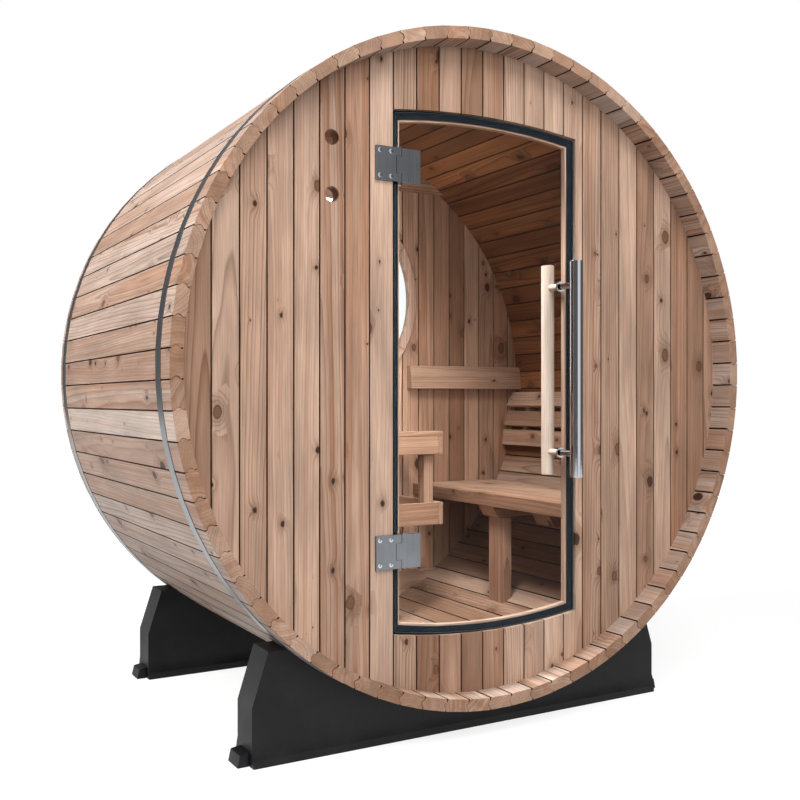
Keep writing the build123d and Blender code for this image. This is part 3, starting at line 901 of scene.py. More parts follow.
def mark_out(bm: bmesh.types.BMesh) -> None:
    """Make room on a mesh for the place and traits of its boards, before its vertices are listed.

    Args:
        bm: Mesh that gets the attributes.
    """
    for name in (GRAIN, BOARD):
        if name not in bm.verts.layers.float_vector:
            bm.verts.layers.float_vector.new(name)


def islands(bm: bmesh.types.BMesh) -> list[list[bmesh.types.BMVert]]:
    """Group a mesh's vertices by the separate pieces that they belong to.

    Args:
        bm: Mesh with one or more pieces.

    Returns:
        The vertices of each piece.
    """
    left = set(bm.verts)
    groups = []
    for seed in bm.verts:
        if seed not in left:
            continue
        left.discard(seed)
        group = [seed]
        for vert in group:
            for edge in vert.link_edges:
                other = edge.other_vert(vert)
                if other in left:
                    left.discard(other)
                    group.append(other)
        groups.append(group)
    return groups


def extent(verts: Iterable[bmesh.types.BMVert]) -> tuple[Vector, Vector]:
    """Find the box round some vertices.

    Args:
        verts: The vertices.

    Returns:
        Lowest and highest corner.
    """
    places = [v.co for v in verts]
    low = Vector(min(p[i] for p in places) for i in range(3))
    high = Vector(max(p[i] for p in places) for i in range(3))
    return low, high


def ease(bm: bmesh.types.BMesh, radius: float, segments: int = 2, keep: Callable | None = None) -> None:
    """Round a mesh's sharp edges.

    Args:
        bm: Mesh to round.
        radius: Radius of the rounding.
        segments: Number of facets in it.
        keep: Test that an edge has to pass to be rounded, or None for all.
    """
    edges = [
        e
        for e in bm.edges
        if len(e.link_faces) == 2 and e.calc_face_angle(0) > SHARP and (keep is None or keep(e))
    ]
    bmesh.ops.bevel(
        bm,
        geom=edges,
        offset=radius,
        offset_type="OFFSET",
        segments=segments,
        profile=0.5,
        affect="EDGES",
        material=-1,
        clamp_overlap=True,
    )


def copy_of(node: str) -> bmesh.types.BMesh:
    """Copy a construction node, with its triangles merged and its flat faces whole again.

    Args:
        node: The construction node.

    Returns:
        The copy.
    """
    bm = bmesh.new()
    bm.from_mesh(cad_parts[node].data)
    bmesh.ops.remove_doubles(bm, verts=bm.verts, dist=WELD)
    bmesh.ops.dissolve_limit(bm, angle_limit=FLAT, verts=bm.verts, edges=bm.edges)
    return bm


def prism(bm: bmesh.types.BMesh, outline: Sequence[Vector], push: Vector) -> list[bmesh.types.BMVert]:
    """Extrude a flat outline into a solid.

    Args:
        bm: Mesh that gets the solid.
        outline: Corners of the outline, in order.
        push: Way and distance of the extrusion.

    Returns:
        The solid's vertices.
    """
    ring = [bm.verts.new(p) for p in outline]
    face = bm.faces.new(ring)
    grown = bmesh.ops.extrude_face_region(bm, geom=[face], use_keep_orig=True)
    moved = [g for g in grown["geom"] if isinstance(g, bmesh.types.BMVert)]
    bmesh.ops.translate(bm, verts=moved, vec=push)
    verts = ring + moved
    faces = {f for v in verts for f in v.link_faces}
    bmesh.ops.recalc_face_normals(bm, faces=list(faces))
    return verts


def publish(
    bm: bmesh.types.BMesh,
    name: str,
    finishes: Finish | Sequence[Finish],
    nodes: Sequence[str],
    body: str = ROOT,
    smooth: float = SMOOTH,
) -> bpy.types.Object:
    """Turn a mesh into a finished piece of the sauna.

    Args:
        bm: The piece's mesh, which is used up.
        name: Name of the piece.
        finishes: Its finish, or one for each material number.
        nodes: Construction nodes that it stands for.
        body: Body that it moves with.
        smooth: Largest angle between faces that are shaded as one surface.

    Returns:
        The piece's object.
    """
    mesh = bpy.data.meshes.new(name)
    for face in bm.faces:
        face.smooth = True
    for edge in bm.edges:
        edge.smooth = len(edge.link_faces) == 2 and edge.calc_face_angle(0) < smooth
    bm.to_mesh(mesh)
    bm.free()
    piece = bpy.data.objects.new(name, mesh)
    bpy.context.scene.collection.objects.link(piece)
    for finish in finishes if isinstance(finishes, Sequence) else [finishes]:
        mesh.materials.append(finish.material())
    weighted = piece.modifiers.new("flat faces stay flat", "WEIGHTED_NORMAL")
    weighted.weight = 100
    weighted.keep_sharp = True
    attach(piece, body)
    if nodes:
        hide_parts(*nodes)
    log.info("%s: %d faces on %s, for %s", name, len(mesh.polygons), body, ", ".join(nodes) or "no node")
    return piece


def eased_copy(
    node: str, finish: Finish, radius: float, timber: Timber | None = None
) -> bpy.types.Object:
    """Make a fixed piece with the shape of a construction node and rounded edges.

    Args:
        node: The construction node.
        finish: Finish of the piece.
        radius: Radius of its edges.
        timber: Cuts its boards from logs, for a wooden piece.

    Returns:
        The piece's object.
    """
    bm = copy_of(node)
    ease(bm, radius)
    if timber:
        timber.cut_by_size(bm)
    return publish(bm, node + "_piece", finish, [node])


class StaveSurface(Enum):
    """Surfaces of a stave, as material numbers."""

    OUTSIDE = 0
    INSIDE = 1
    END = 2
    JOINT = 3


@dataclass
class Barrel:
    """Shell of staves laid side by side, each with a bead that fits the next one's cove.

    Attributes:
        staves: Number of staves round the barrel.
        per_run: Staves in each run of the construction model.
        thickness: Thickness of a stave.
        bead_half: Half the width of the bead, through the stave's thickness.
        bead_rise: Height of the bead above the joint.
        cove_gap: Smallest and largest room between bead and cove.
        side_gap: Smallest and largest room beside a joint, per stave.
        outer_notch: Half width and depth of the groove along a joint outside.
        inner_notch: Half width and depth of the slit along a joint inside.
        end_ease: Radius along the stave ends.
        wander: Most that an end or a face stands back from the true shape.
        slit_flank: Where the slit's flank bends, as shares of its half width and its depth.
        tone: Smallest and largest lean of a stave to the deep colour.
        smooth: Largest angle between faces that are shaded as one surface.
        facing: Smallest slope of a face that looks in or out, as the height of its normal.
        floor_runs: Runs whose inside is the floor, which feet darken, and which keep the floor's finish
            instead of the painted shade of the ceiling and sides.
    """

    staves: int = 80
    per_run: int = 10
    thickness: float = 33 * MM
    bead_half: float = 8.7 * MM
    bead_rise: float = 6.5 * MM
    cove_gap: Point2 = (0.15 * MM, 1.4 * MM)
    side_gap: Point2 = (0.05 * MM, 0.5 * MM)
    outer_notch: Point2 = (2.0 * MM, 5.0 * MM)
    inner_notch: Point2 = (2.5 * MM, 7.5 * MM)
    end_ease: float = 0.7 * MM
    wander: float = 0.8 * MM
    slit_flank: Point2 = (0.6, 0.85)
    tone: Point2 = (0.0, 0.75)
    smooth: float = math.radians(28)
    facing: float = 0.9
    floor_runs: tuple[str, ...] = ("staves_bottom", "staves_lower_left", "staves_lower_right")

    def __post_init__(self) -> None:
        """Take the barrel's size and place from the construction model."""
        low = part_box("staves_bottom")[0]
        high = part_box("staves_top")[1]
        self.axis_z = (low.z + high.z) / 2
        self.outer = (high.z - low.z) / 2
        self.inner = self.outer - self.thickness
        self.front = low.y
        self.rear = high.y
        self.step = math.tau / self.staves
        self.wall_planes = tuple(
            sum(corner.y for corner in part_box(wall)) / 2 for wall in ("front_wall_left", "back_wall_left")
        )
        self.timber = Timber(11, tone=self.tone)

    def arc(self, middle: float, half: float, rise: float, slope: float, steps: int = 8) -> list[Point2]:
        """Draw the bulge across a stave's side, from low to high.

        Args:
            middle: Height of its middle.
            half: Half its width.
            rise: How far it bulges.
            slope: Sideways lean of the stave's side.
            steps: Number of facets.

        Returns:
            Points of the bulge.
        """
        radius = (half**2 + rise**2) / (2 * rise)
        reach = math.asin(half / radius)
        points = []
        for i in range(steps + 1):
            angle = -reach + 2 * reach * i / steps
            z = middle + radius * math.sin(angle)
            points.append((z * slope + radius * math.cos(angle) - (radius - rise), z))
        return points

    def side(self, gap: float, half: float, rise: float, right: bool) -> list[Point2]:
        """Draw the edge of a stave from its inner to its outer face.

        Args:
            gap: Room to the true joint.
            half: Half the width of its bead or cove.
            rise: Height of its bead or depth of its cove.
            right: Whether the edge is the stave's right one.

        Returns:
            Points of the edge.
        """
        sign = 1 if right else -1
        slope = math.tan(self.step / 2) * sign
        middle = (self.inner + self.outer) / 2
        inset, slit = self.inner_notch
        bevel, depth = self.outer_notch
        narrow, deep = self.slit_flank
        return [
            (self.inner * slope - sign * inset, self.inner),
            ((self.inner + slit) * slope - sign * inset * narrow, self.inner + slit * deep),
            ((self.inner + slit) * slope - sign * gap, self.inner + slit),
            *((x - sign * gap, z) for x, z in self.arc(middle + self.arc_lift, half, rise, slope)),
            ((self.outer - depth) * slope - sign * gap, self.outer - depth),
            (self.outer * slope - sign * bevel, self.outer),
        ]

    @property
    def arc_lift(self) -> float:
        """How far the bead sits outwards of the stave's middle, because the inner notch is deeper."""
        return (self.inner_notch[1] - self.outer_notch[1]) / 2

    def outline(self) -> list[Point2]:
        """Draw the cross-section of a stave at the top of the barrel.

        Returns:
            Points of the outline, with heights from the axis.
        """
        tight, wide = self.side_gap
        snug, slack = self.cove_gap
        right, left, loose = (self.timber.dice.random() ** 3 for _ in range(3))
        bead = self.side(tight + (wide - tight) * right, self.bead_half, self.bead_rise, True)
        room = snug + (slack - snug) * loose
        cove = self.side(tight + (wide - tight) * left, self.bead_half + room, self.bead_rise + room, False)
        return bead + cove[::-1]

    def run(self, name: str, first: int) -> bpy.types.Object:
        """Build one run of staves as one piece.

        Args:
            name: Construction node that the run stands for.
            first: Number of its first stave, counted clockwise from the top.

        Returns:
            The run's object.
        """
        bm = bmesh.new()
        for index in range(first, first + self.per_run):
            front = self.front + self.timber.dice.uniform(0, self.wander)
            rear = self.rear - self.timber.dice.uniform(0, self.wander)
            drop = self.timber.dice.uniform(0, self.wander / 2)
            stave = bmesh.new()
            outline = [Vector((x, front, z - drop)) for x, z in self.outline()]
            prism(stave, outline, Vector((0, rear - front, 0)))
            ends = (front, rear)
            ease(stave, self.end_ease, 1, lambda e: self.on_an_end(e, ends))
            for y in self.wall_planes:
                faces = [f for f in stave.faces if self.looks_in(f)]
                around = {part for face in faces for part in (*face.edges, *face.verts)}
                cut = [*faces, *around]
                bmesh.ops.bisect_plane(stave, geom=cut, plane_co=(0, y, 0), plane_no=(0, 1, 0))
            for face in stave.faces:
                face.material_index = self.surface_of(face, ends).value
            mark_out(stave)
            middle = Vector((0, (front + rear) / 2, (self.inner + self.outer) / 2))
            self.timber.cut(stave, stave.verts, Axis.Y, Axis.X, middle)
            bmesh.ops.rotate(stave, verts=stave.verts, matrix=Matrix.Rotation(index * self.step, 3, "Y"))
            bmesh.ops.translate(stave, verts=stave.verts, vec=(0, 0, self.axis_z))
            join(bm, stave)
        # Ceiling and sides inside get a darker copy of the wood, which is painted shade; the floor runs
        # don't.
        inside = FLOOR_WOOD if name in self.floor_runs else SHADED_CABIN_WOOD
        # The faces inside the joints get the dark joint finish, which is painted shade.
        finishes = (STAVE_WOOD, inside, END_WOOD, JOINT_SHADE_WOOD)
        return publish(bm, name + "_boards", finishes, [name], smooth=self.smooth)

    def looks_in(self, face: bmesh.types.BMFace) -> bool:
        """Whether a face of the stave at the top of the barrel looks into the cabin."""
        return face.normal.z < -self.facing and face.calc_center_median().z < self.inner + MM

    def surface_of(self, face: bmesh.types.BMFace, ends: tuple[float, float]) -> StaveSurface:
        """Tell which surface of a stave a face belongs to, while the stave lies at the top.

        Args:
            face: Face of the stave.
            ends: Y of the stave's ends.

        Returns:
            The surface.
        """
        middle = face.calc_center_median()
        if any(abs(middle.y - end) < self.end_ease for end in ends):
            return StaveSurface.END
        if face.normal.z > self.facing and middle.z > self.outer - MM:
            return StaveSurface.OUTSIDE
        if not self.looks_in(face):
            return StaveSurface.JOINT
        near, far = self.wall_planes
        return StaveSurface.INSIDE if near < middle.y < far else StaveSurface.OUTSIDE

    @staticmethod
    def on_an_end(edge: bmesh.types.BMEdge, ends: tuple[float, float]) -> bool:
        """Whether an edge lies in one of a stave's end faces."""
        a, b = (v.co.y for v in edge.verts)
        return abs(a - b) < WELD and any(abs(a - end) < WELD for end in ends)

    def build(self) -> None:
        """Build all the runs."""
        right = ("upper_right", "right", "lower_right")
        left = ("lower_left", "left", "upper_left")
        for number, name in enumerate(("top", *right, "bottom", *left)):
            self.run("staves_" + name, number * self.per_run - self.per_run // 2)


def join(bm: bmesh.types.BMesh, part: bmesh.types.BMesh) -> None:
    """Add one mesh to another.

    Args:
        bm: Mesh that grows.
        part: Mesh that is added, which is used up.
    """
    mesh = bpy.data.meshes.new("joining")
    part.to_mesh(mesh)
    part.free()
    bm.from_mesh(mesh)
    bpy.data.meshes.remove(mesh)


def solid_object(bm: bmesh.types.BMesh, name: str) -> bpy.types.Object:
    """Put a mesh into the scene as a plain object, for cutting.

    Args:
        bm: The mesh, which is used up.
        name: Name of the object.

    Returns:
        The object.
    """
    mesh = bpy.data.meshes.new(name)
    bm.to_mesh(mesh)
    bm.free()
    body = bpy.data.objects.new(name, mesh)
    bpy.context.scene.collection.objects.link(body)
    return body


def carve(bm: bmesh.types.BMesh, cutters: Sequence[tuple[str, bmesh.types.BMesh]]) -> bmesh.types.BMesh:
    """Cut a mesh with others.

    Args:
        bm: Mesh to cut, which is used up.
        cutters: Name of the operation and mesh of each cutter, which are used up.

    Returns:
        The cut mesh.
    """
    target = solid_object(bm, "carving")
    tools = []
    for operation, tool in cutters:
        cutter = solid_object(tool, "cutter")
        modifier = target.modifiers.new("cut", "BOOLEAN")
        modifier.operation = operation
        modifier.solver = "EXACT"
        modifier.object = cutter
        tools.append(cutter)
    bpy.context.view_layer.update()
    graph = bpy.context.evaluated_depsgraph_get()
    mesh = bpy.data.meshes.new_from_object(target.evaluated_get(graph))
    result = bmesh.new()
    result.from_mesh(mesh)
    bpy.data.meshes.remove(mesh)
    for used in [target, *tools]:
        data = used.data
        bpy.data.objects.remove(used)
        bpy.data.meshes.remove(data)
    bmesh.ops.remove_doubles(result, verts=result.verts, dist=WELD)
    bmesh.ops.dissolve_limit(result, angle_limit=CUT_FLAT, verts=result.verts, edges=result.edges)
    return result


def lathe(outline: Sequence[Point2], steps: int, place: Point3) -> bmesh.types.BMesh:
    """Turn an outline round an axis that runs from front to back.

    Args:
        outline: Radius and depth of each point, from pole to pole.
        steps: Facets round the axis.
        place: Where the outline's start lies.

    Returns:
        The turned mesh.
    """
    bm = bmesh.new()
    verts = [bm.verts.new((r, depth, 0)) for r, depth in outline]
    edges = [bm.edges.new(pair) for pair in zip(verts, verts[1:])]
    spin_round_y(bm, [*verts, *edges], steps)
    bmesh.ops.translate(bm, verts=bm.verts, vec=place)
    return bm


def spin_round_y(bm: bmesh.types.BMesh, profile: Sequence, steps: int) -> None:
    """Spin a profile once round the Y axis into a closed skin.

    Args:
        bm: Mesh that holds nothing but the profile.
        profile: Vertices and edges of the profile.
        steps: Facets round the axis.
    """
    bmesh.ops.spin(
        bm, geom=profile, cent=(0, 0, 0), axis=(0, 1, 0), angle=math.tau, steps=steps, use_merge=True
    )
    bmesh.ops.remove_doubles(bm, verts=bm.verts, dist=WELD)
    bmesh.ops.recalc_face_normals(bm, faces=bm.faces)


def cylinder_along_y(
    x: float, z: float, radius: float, front: float, rear: float, sides: int
) -> bmesh.types.BMesh:
    """Make a round bar that lies from front to back.

    Args:
        x: X of its axis.
        z: Height of its axis.
        radius: Its radius.
        front: Y of its front end.
        rear: Y of its rear end.
        sides: Facets round it.

    Returns:
        The bar's mesh.
    """
    bm = bmesh.new()
    turn = Matrix.Translation((x, (front + rear) / 2, z)) @ Matrix.Rotation(math.pi / 2, 4, "X")
    bmesh.ops.create_cone(
        bm, cap_ends=True, segments=sides, radius1=radius, radius2=radius, depth=rear - front, matrix=turn
    )
    return bm


@dataclass
class EndWall:
    """Wall of upright boards with V-grooves along their joints, cut to the inside of the staves.

    Attributes:
        name: Name of the finished piece.
        nodes: Construction nodes that it stands for.
        finish: Finish of the boards.
        seed: Start of the random draws.
        pitch: Width of a board.
        seam: X of one of the joints.
        groove: Depth of the groove at a joint.
        groove_half: Half its width at the face.
        slit_half: Half the width of the slit below the groove.
        slit: Depth of the slit from the face.
        gap: Room below the slit that keeps neighbours separate, per board.
        overrun: How far cutters reach past the wall.
        facing: Smallest sideways part of the normal of a face inside a joint.
    """

    name: str
    nodes: tuple[str, ...]
    finish: PlanedSoftwood
    seed: int
    pitch: float = 70.9 * MM
    seam: float = -12 * MM
    groove: float = 1.6 * MM
    groove_half: float = 2.7 * MM
    slit_half: float = 1.7 * MM
    slit: float = 12 * MM
    gap: float = 0.02 * MM
    overrun: float = 20 * MM
    facing: float = 0.95

    def __post_init__(self) -> None:
        """Take the wall's place from the construction model."""
        self.front = min(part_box(n)[0].y for n in self.nodes)
        self.rear = max(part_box(n)[1].y for n in self.nodes)
        self.timber = Timber(self.seed)
        self.barrel = Barrel()

    def board(self, bm: bmesh.types.BMesh, number: int) -> None:
        """Add one full-height board.

        Args:
            bm: Mesh that gets the board.
            number: Number of the board, counted from the named seam.
        """
        left = self.seam + number * self.pitch
        right = left + self.pitch
        edge = [
            (self.groove_half, 0.0),
            (self.slit_half, self.groove),
            (self.slit_half, self.slit),
            (self.gap, self.slit),
        ]
        deep = self.rear - self.front
        edge += [(x, deep - y) for x, y in reversed(edge)]
        height = 2 * self.barrel.outer
        foot = self.barrel.axis_z - height / 2
        outline = [Vector((left + x, self.front + y, foot)) for x, y in edge]
        outline += [Vector((right - x, self.front + y, foot)) for x, y in reversed(edge)]
        for vert in prism(bm, outline, Vector((0, 0, height))):
            for face in vert.link_faces:
                # Faces inside a joint get the dark joint finish, which is painted shade.
                side = Side.EDGE if abs(face.normal.x) > self.facing else Side.FACE
                face.material_index = side.value

    def disc(self) -> bmesh.types.BMesh:
        """Make a many-sided cutter with the inside shape of the barrel.

        Returns:
            The cutter's mesh.
        """
        barrel = self.barrel
        corner = barrel.inner / math.cos(barrel.step / 2)
        angles = [(i + 0.5) * barrel.step for i in range(barrel.staves)]
        outline = [(corner * math.sin(a), barrel.axis_z + corner * math.cos(a)) for a in angles]
        return self.punch(outline)

    def punch(self, outline: Sequence[Point2]) -> bmesh.types.BMesh:
        """Make a cutter that reaches through the wall.

        Args:
            outline: X and height of its corners.

        Returns:
            The cutter's mesh.
        """
        bm = bmesh.new()
        start = self.front - self.overrun
        push = Vector((0, self.rear - self.front + 2 * self.overrun, 0))
        prism(bm, [Vector((x, start, z)) for x, z in outline], push)
        return bm

    def drill(self, x: float, z: float, radius: float, sides: int) -> bmesh.types.BMesh:
        """Make a round cutter that reaches through the wall.

        Args:
            x: X of its axis.
            z: Height of its axis.
            radius: Its radius.
            sides: Facets round it.

        Returns:
            The cutter's mesh.
        """
        return cylinder_along_y(x, z, radius, self.front - self.overrun, self.rear + self.overrun, sides)

    def holes(self) -> list[bmesh.types.BMesh]:
        """Cutters for the holes of this wall."""
        return []

    def build(self) -> None:
        """Build the boards, cut them and publish them as one piece."""
        bm = bmesh.new()
        reach = math.ceil(self.barrel.inner / self.pitch)
        for number in range(-reach, reach + 1):
            self.board(bm, number)
        cutters = [("INTERSECT", self.disc())]
        cutters += [("DIFFERENCE", hole) for hole in self.holes()]
        bm = carve(bm, cutters)
        mark_out(bm)
        by_board: dict[int, list[bmesh.types.BMVert]] = {}
        for verts in islands(bm):
            low, high = extent(verts)
            number = math.floor(((low.x + high.x) / 2 - self.seam) / self.pitch)
            by_board.setdefault(number, []).extend(verts)
        y = (self.front + self.rear) / 2
        for number in sorted(by_board):
            middle = Vector((self.seam + (number + 0.5) * self.pitch, y, self.barrel.axis_z))
            self.timber.cut(bm, by_board[number], Axis.Z, Axis.X, middle)
        # The faces inside the joints get the dark joint finish, which is painted shade.
        publish(bm, self.name, (self.finish, JOINT_SHADE_WOOD), self.nodes)


@dataclass
class FrontWall(EndWall):
    """Front wall with its doorway and two round vents.

    Attributes:
        vent_x: X of the vents.
        vent_radius: Radius of a vent.
        vent_heights: Heights of the vents above the barrel's axis.
        vent_sides: Facets round a vent.
        rise: Rise of the doorway's arched head.
        drop: Drop of its arched sill.
    """

    vent_x: float = -475 * MM
    vent_radius: float = 20 * MM
    vent_heights: Point2 = (438.5 * MM, 582.5 * MM)
    vent_sides: int = 40
    rise: float = 21 * MM
    drop: float = 24 * MM

    def doorway(self) -> bmesh.types.BMesh:
        """Make the doorway's cutter, which reaches to the outside of the seal.

        Returns:
            The cutter's mesh.
        """
        low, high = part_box("door_seal")
        foot, head = low.z + self.drop, high.z - self.rise
        return self.punch(arched_outline(low.x, high.x, foot, head, self.rise, self.drop))

    def holes(self) -> list[bmesh.types.BMesh]:
        """Make the cutters for doorway and vents.

        Returns:
            Their meshes.
        """
        heights = [self.barrel.axis_z + height for height in self.vent_heights]
        vents = [self.drill(self.vent_x, z, self.vent_radius, self.vent_sides) for z in heights]
        return [self.doorway(), *vents]


@dataclass
class BackWall(EndWall):
    """Back wall with its round window hole.

    Attributes:
        hole_radius: Radius of the hole.
        hole_sides: Facets round it.
    """

    hole_radius: float = 380 * MM
    hole_sides: int = 96

    def holes(self) -> list[bmesh.types.BMesh]:
        """Make the cutter for the window.

        Returns:
            Its mesh, in a list.
        """
        low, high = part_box("window_pane")
        return [self.drill(0.0, (low.z + high.z) / 2, self.hole_radius, self.hole_sides)]


def arched_outline(
    left: float, right: float, low: float, high: float, rise: float, drop: float, steps: int = 28
) -> list[Point2]:
    """Draw an upright outline with a bowed head and sill.

    Args:
        left: X of the left side.
        right: X of the right side.
        low: Height of the lower corners.
        high: Height of the upper corners.
        rise: How far the head bows up.
        drop: How far the sill bows down.
        steps: Facets in each bow.

    Returns:
        Points in order round the outline.
    """
    half = (right - left) / 2
    middle = (left + right) / 2

    def bow(height: float) -> list[Point2]:
        """Draw a bow from left to right, as offsets from its chord.

        Args:
            height: Rise of the bow.

        Returns:
            Its points.
        """
        radius = (half**2 + height**2) / (2 * height)
        reach = math.asin(half / radius)
        angles = [-reach + 2 * reach * i / steps for i in range(steps + 1)]
        return [(middle + radius * math.sin(a), radius * math.cos(a) - (radius - height)) for a in angles]

    head = [(x, high + z) for x, z in bow(rise)]
    sill = [(x, low - z) for x, z in bow(drop)]
    return head + sill[::-1]


@dataclass
class RoundWindow:
    """Round window with a wooden ring inside and out, each made of curved segments.

    Attributes:
        segments: Segments in a ring.
        ease_radius: Radius of a ring's edges.
        joint: Width of the joint between segments.
        steps: Facets in a segment.
        widths: Width of each ring, by the name of its construction node.
        glass_ease: Width of the pane's ground chamfer.
        glass_sides: Facets round the pane.
        facing: Smallest part of the normal that looks to the front or back on the pane's faces.
        tone: Smallest and largest lean of a segment to the deep colour.
    """

    segments: int = 6
    ease_radius: float = 2.5 * MM
    joint: float = 0.5 * MM
    steps: int = 16
    widths: tuple[tuple[str, float], ...] = (
        ("window_inner_ring", 33 * MM),
        ("window_outer_ring", 34 * MM),
    )
    glass_ease: float = 0.8 * MM
    glass_sides: int = 96
    facing: float = 0.95
    tone: Point2 = (0.0, 0.4)

    def __post_init__(self) -> None:
        """Start the draws for the rings' wood."""
        self.timber = Timber(41, tone=self.tone)

    def ring(self, node: str, thin: float) -> None:
        """Build a ring of curved segments in place of a construction node.

        Args:
            node: The construction node.
            thin: Width of the ring from its inner to its outer edge.
        """
        low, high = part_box(node)
        outer = (high.x - low.x) / 2
        inner = outer - thin
        centre = Vector(((low.x + high.x) / 2, 0, (low.z + high.z) / 2))
        bm = bmesh.new()
        share = math.tau / self.segments
        for number in range(self.segments):
            part = bmesh.new()
            sweep = share - self.joint / outer
            x, z = math.sin(-sweep / 2), math.cos(-sweep / 2)
            section = [(inner, low.y), (outer, low.y), (outer, high.y), (inner, high.y)]
            face = part.faces.new([part.verts.new((r * x, y, r * z)) for r, y in section])
            bmesh.ops.spin(
                part,
                geom=[face, *face.edges, *face.verts],
                cent=(0, 0, 0),
                axis=(0, 1, 0),
                angle=sweep,
                steps=self.steps,
                use_duplicate=False,
            )
            bmesh.ops.contextual_create(part, geom=[e for e in part.edges if e.is_boundary])
            bmesh.ops.recalc_face_normals(part, faces=part.faces)
            ease(part, self.ease_radius, 3)
            mark_out(part)
            self.timber.cut(part, part.verts, Axis.X, Axis.Z, Vector((0, low.y, (inner + outer) / 2)))
            turn = Matrix.Rotation((number + 0.5) * share, 3, "Y")
            bmesh.ops.rotate(part, verts=part.verts, matrix=turn)
            bmesh.ops.translate(part, verts=part.verts, vec=centre)
            join(bm, part)
        publish(bm, node + "_piece", TRIM_WOOD, [node])

    def pane(self) -> None:
        """Build the glass disc between the rings."""
        low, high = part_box("window_pane")
        middle = (low + high) / 2
        radius = (high.x - low.x) / 2
        bm = cylinder_along_y(middle.x, middle.z, radius, low.y, high.y, self.glass_sides)
        ease(bm, self.glass_ease, 1)
        for face in bm.faces:
            side = Side.FACE if abs(face.normal.y) > self.facing else Side.EDGE
            face.material_index = side.value
        publish(bm, "window_glass", (GLASS, GLASS_EDGE), ["window_pane"])

    def build(self) -> None:
        """Build both rings and the pane."""
        for node, width in self.widths:
            self.ring(node, width)
        self.pane()


@dataclass
class Hoops:
    """Steel bands round the staves, bent flat over each of them.

    Attributes:
        thickness: Thickness of a band.
        ease_radius: Radius of its edges.
    """

    thickness: float = 1.5 * MM
    ease_radius: float = 0.4 * MM

    def band(self, node: str) -> None:
        """Build a band in place of a construction node, with brushed lines that run round it.

        Args:
            node: The construction node.
        """
        barrel = Barrel()
        low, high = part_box(node)
        inner = barrel.outer / math.cos(barrel.step / 2)
        outer = inner + self.thickness
        start = barrel.step / 2
        bm = bmesh.new()
        section = [(inner, low.y), (outer, low.y), (outer, high.y), (inner, high.y)]
        verts = [bm.verts.new((r * math.sin(start), y, r * math.cos(start))) for r, y in section]
        edges = [bm.edges.new((verts[i], verts[(i + 1) % 4])) for i in range(4)]
        spin_round_y(bm, [*verts, *edges], barrel.staves)
        grain = bm.verts.layers.float_vector.new(GRAIN)
        ease(bm, self.ease_radius, 2)
        for vert in bm.verts:
            turn = math.atan2(vert.co.x, vert.co.z)
            vert[grain] = Vector((vert.co.y, abs(turn) * barrel.outer, vert.co.xz.length))
        bmesh.ops.translate(bm, verts=bm.verts, vec=(0, 0, barrel.axis_z))
        publish(bm, node + "_band", STEEL, [node])

    def build(self) -> None:
        """Build both bands."""
        for node in ("hoop_front", "hoop_rear"):
            self.band(node)


@dataclass
class Cradles:
    """Two black saddles with flared skirts, and their foot blocks.

    Attributes:
        ease_radius: Radius of the edges.
    """

    ease_radius: float = 2.5 * MM

    def build(self) -> None:
        """Build the saddles and feet."""
        for node in ("cradle_front", "cradle_rear", "cradle_feet"):
            eased_copy(node, PAINT, self.ease_radius)


@dataclass
class DoorSurround:
    """Wooden stops round the doorway and the black seal on them.

    Attributes:
        stop_ease: Radius of the stops' edges.
        seal_ease: Radius of the seal's edges.
        tone: Smallest and largest lean of a stop to the deep colour.
    """

    stop_ease: float = 1.2 * MM
    seal_ease: float = 1.0 * MM
    tone: Point2 = (0.0, 0.3)

    def build(self) -> None:
        """Build stops and seal."""
        timber = Timber(51, tone=self.tone)
        for node in ("door_stop_sides", "door_stop_ends"):
            eased_copy(node, TRIM_WOOD, self.stop_ease, timber)
        eased_copy("door_seal", RUBBER, self.seal_ease)


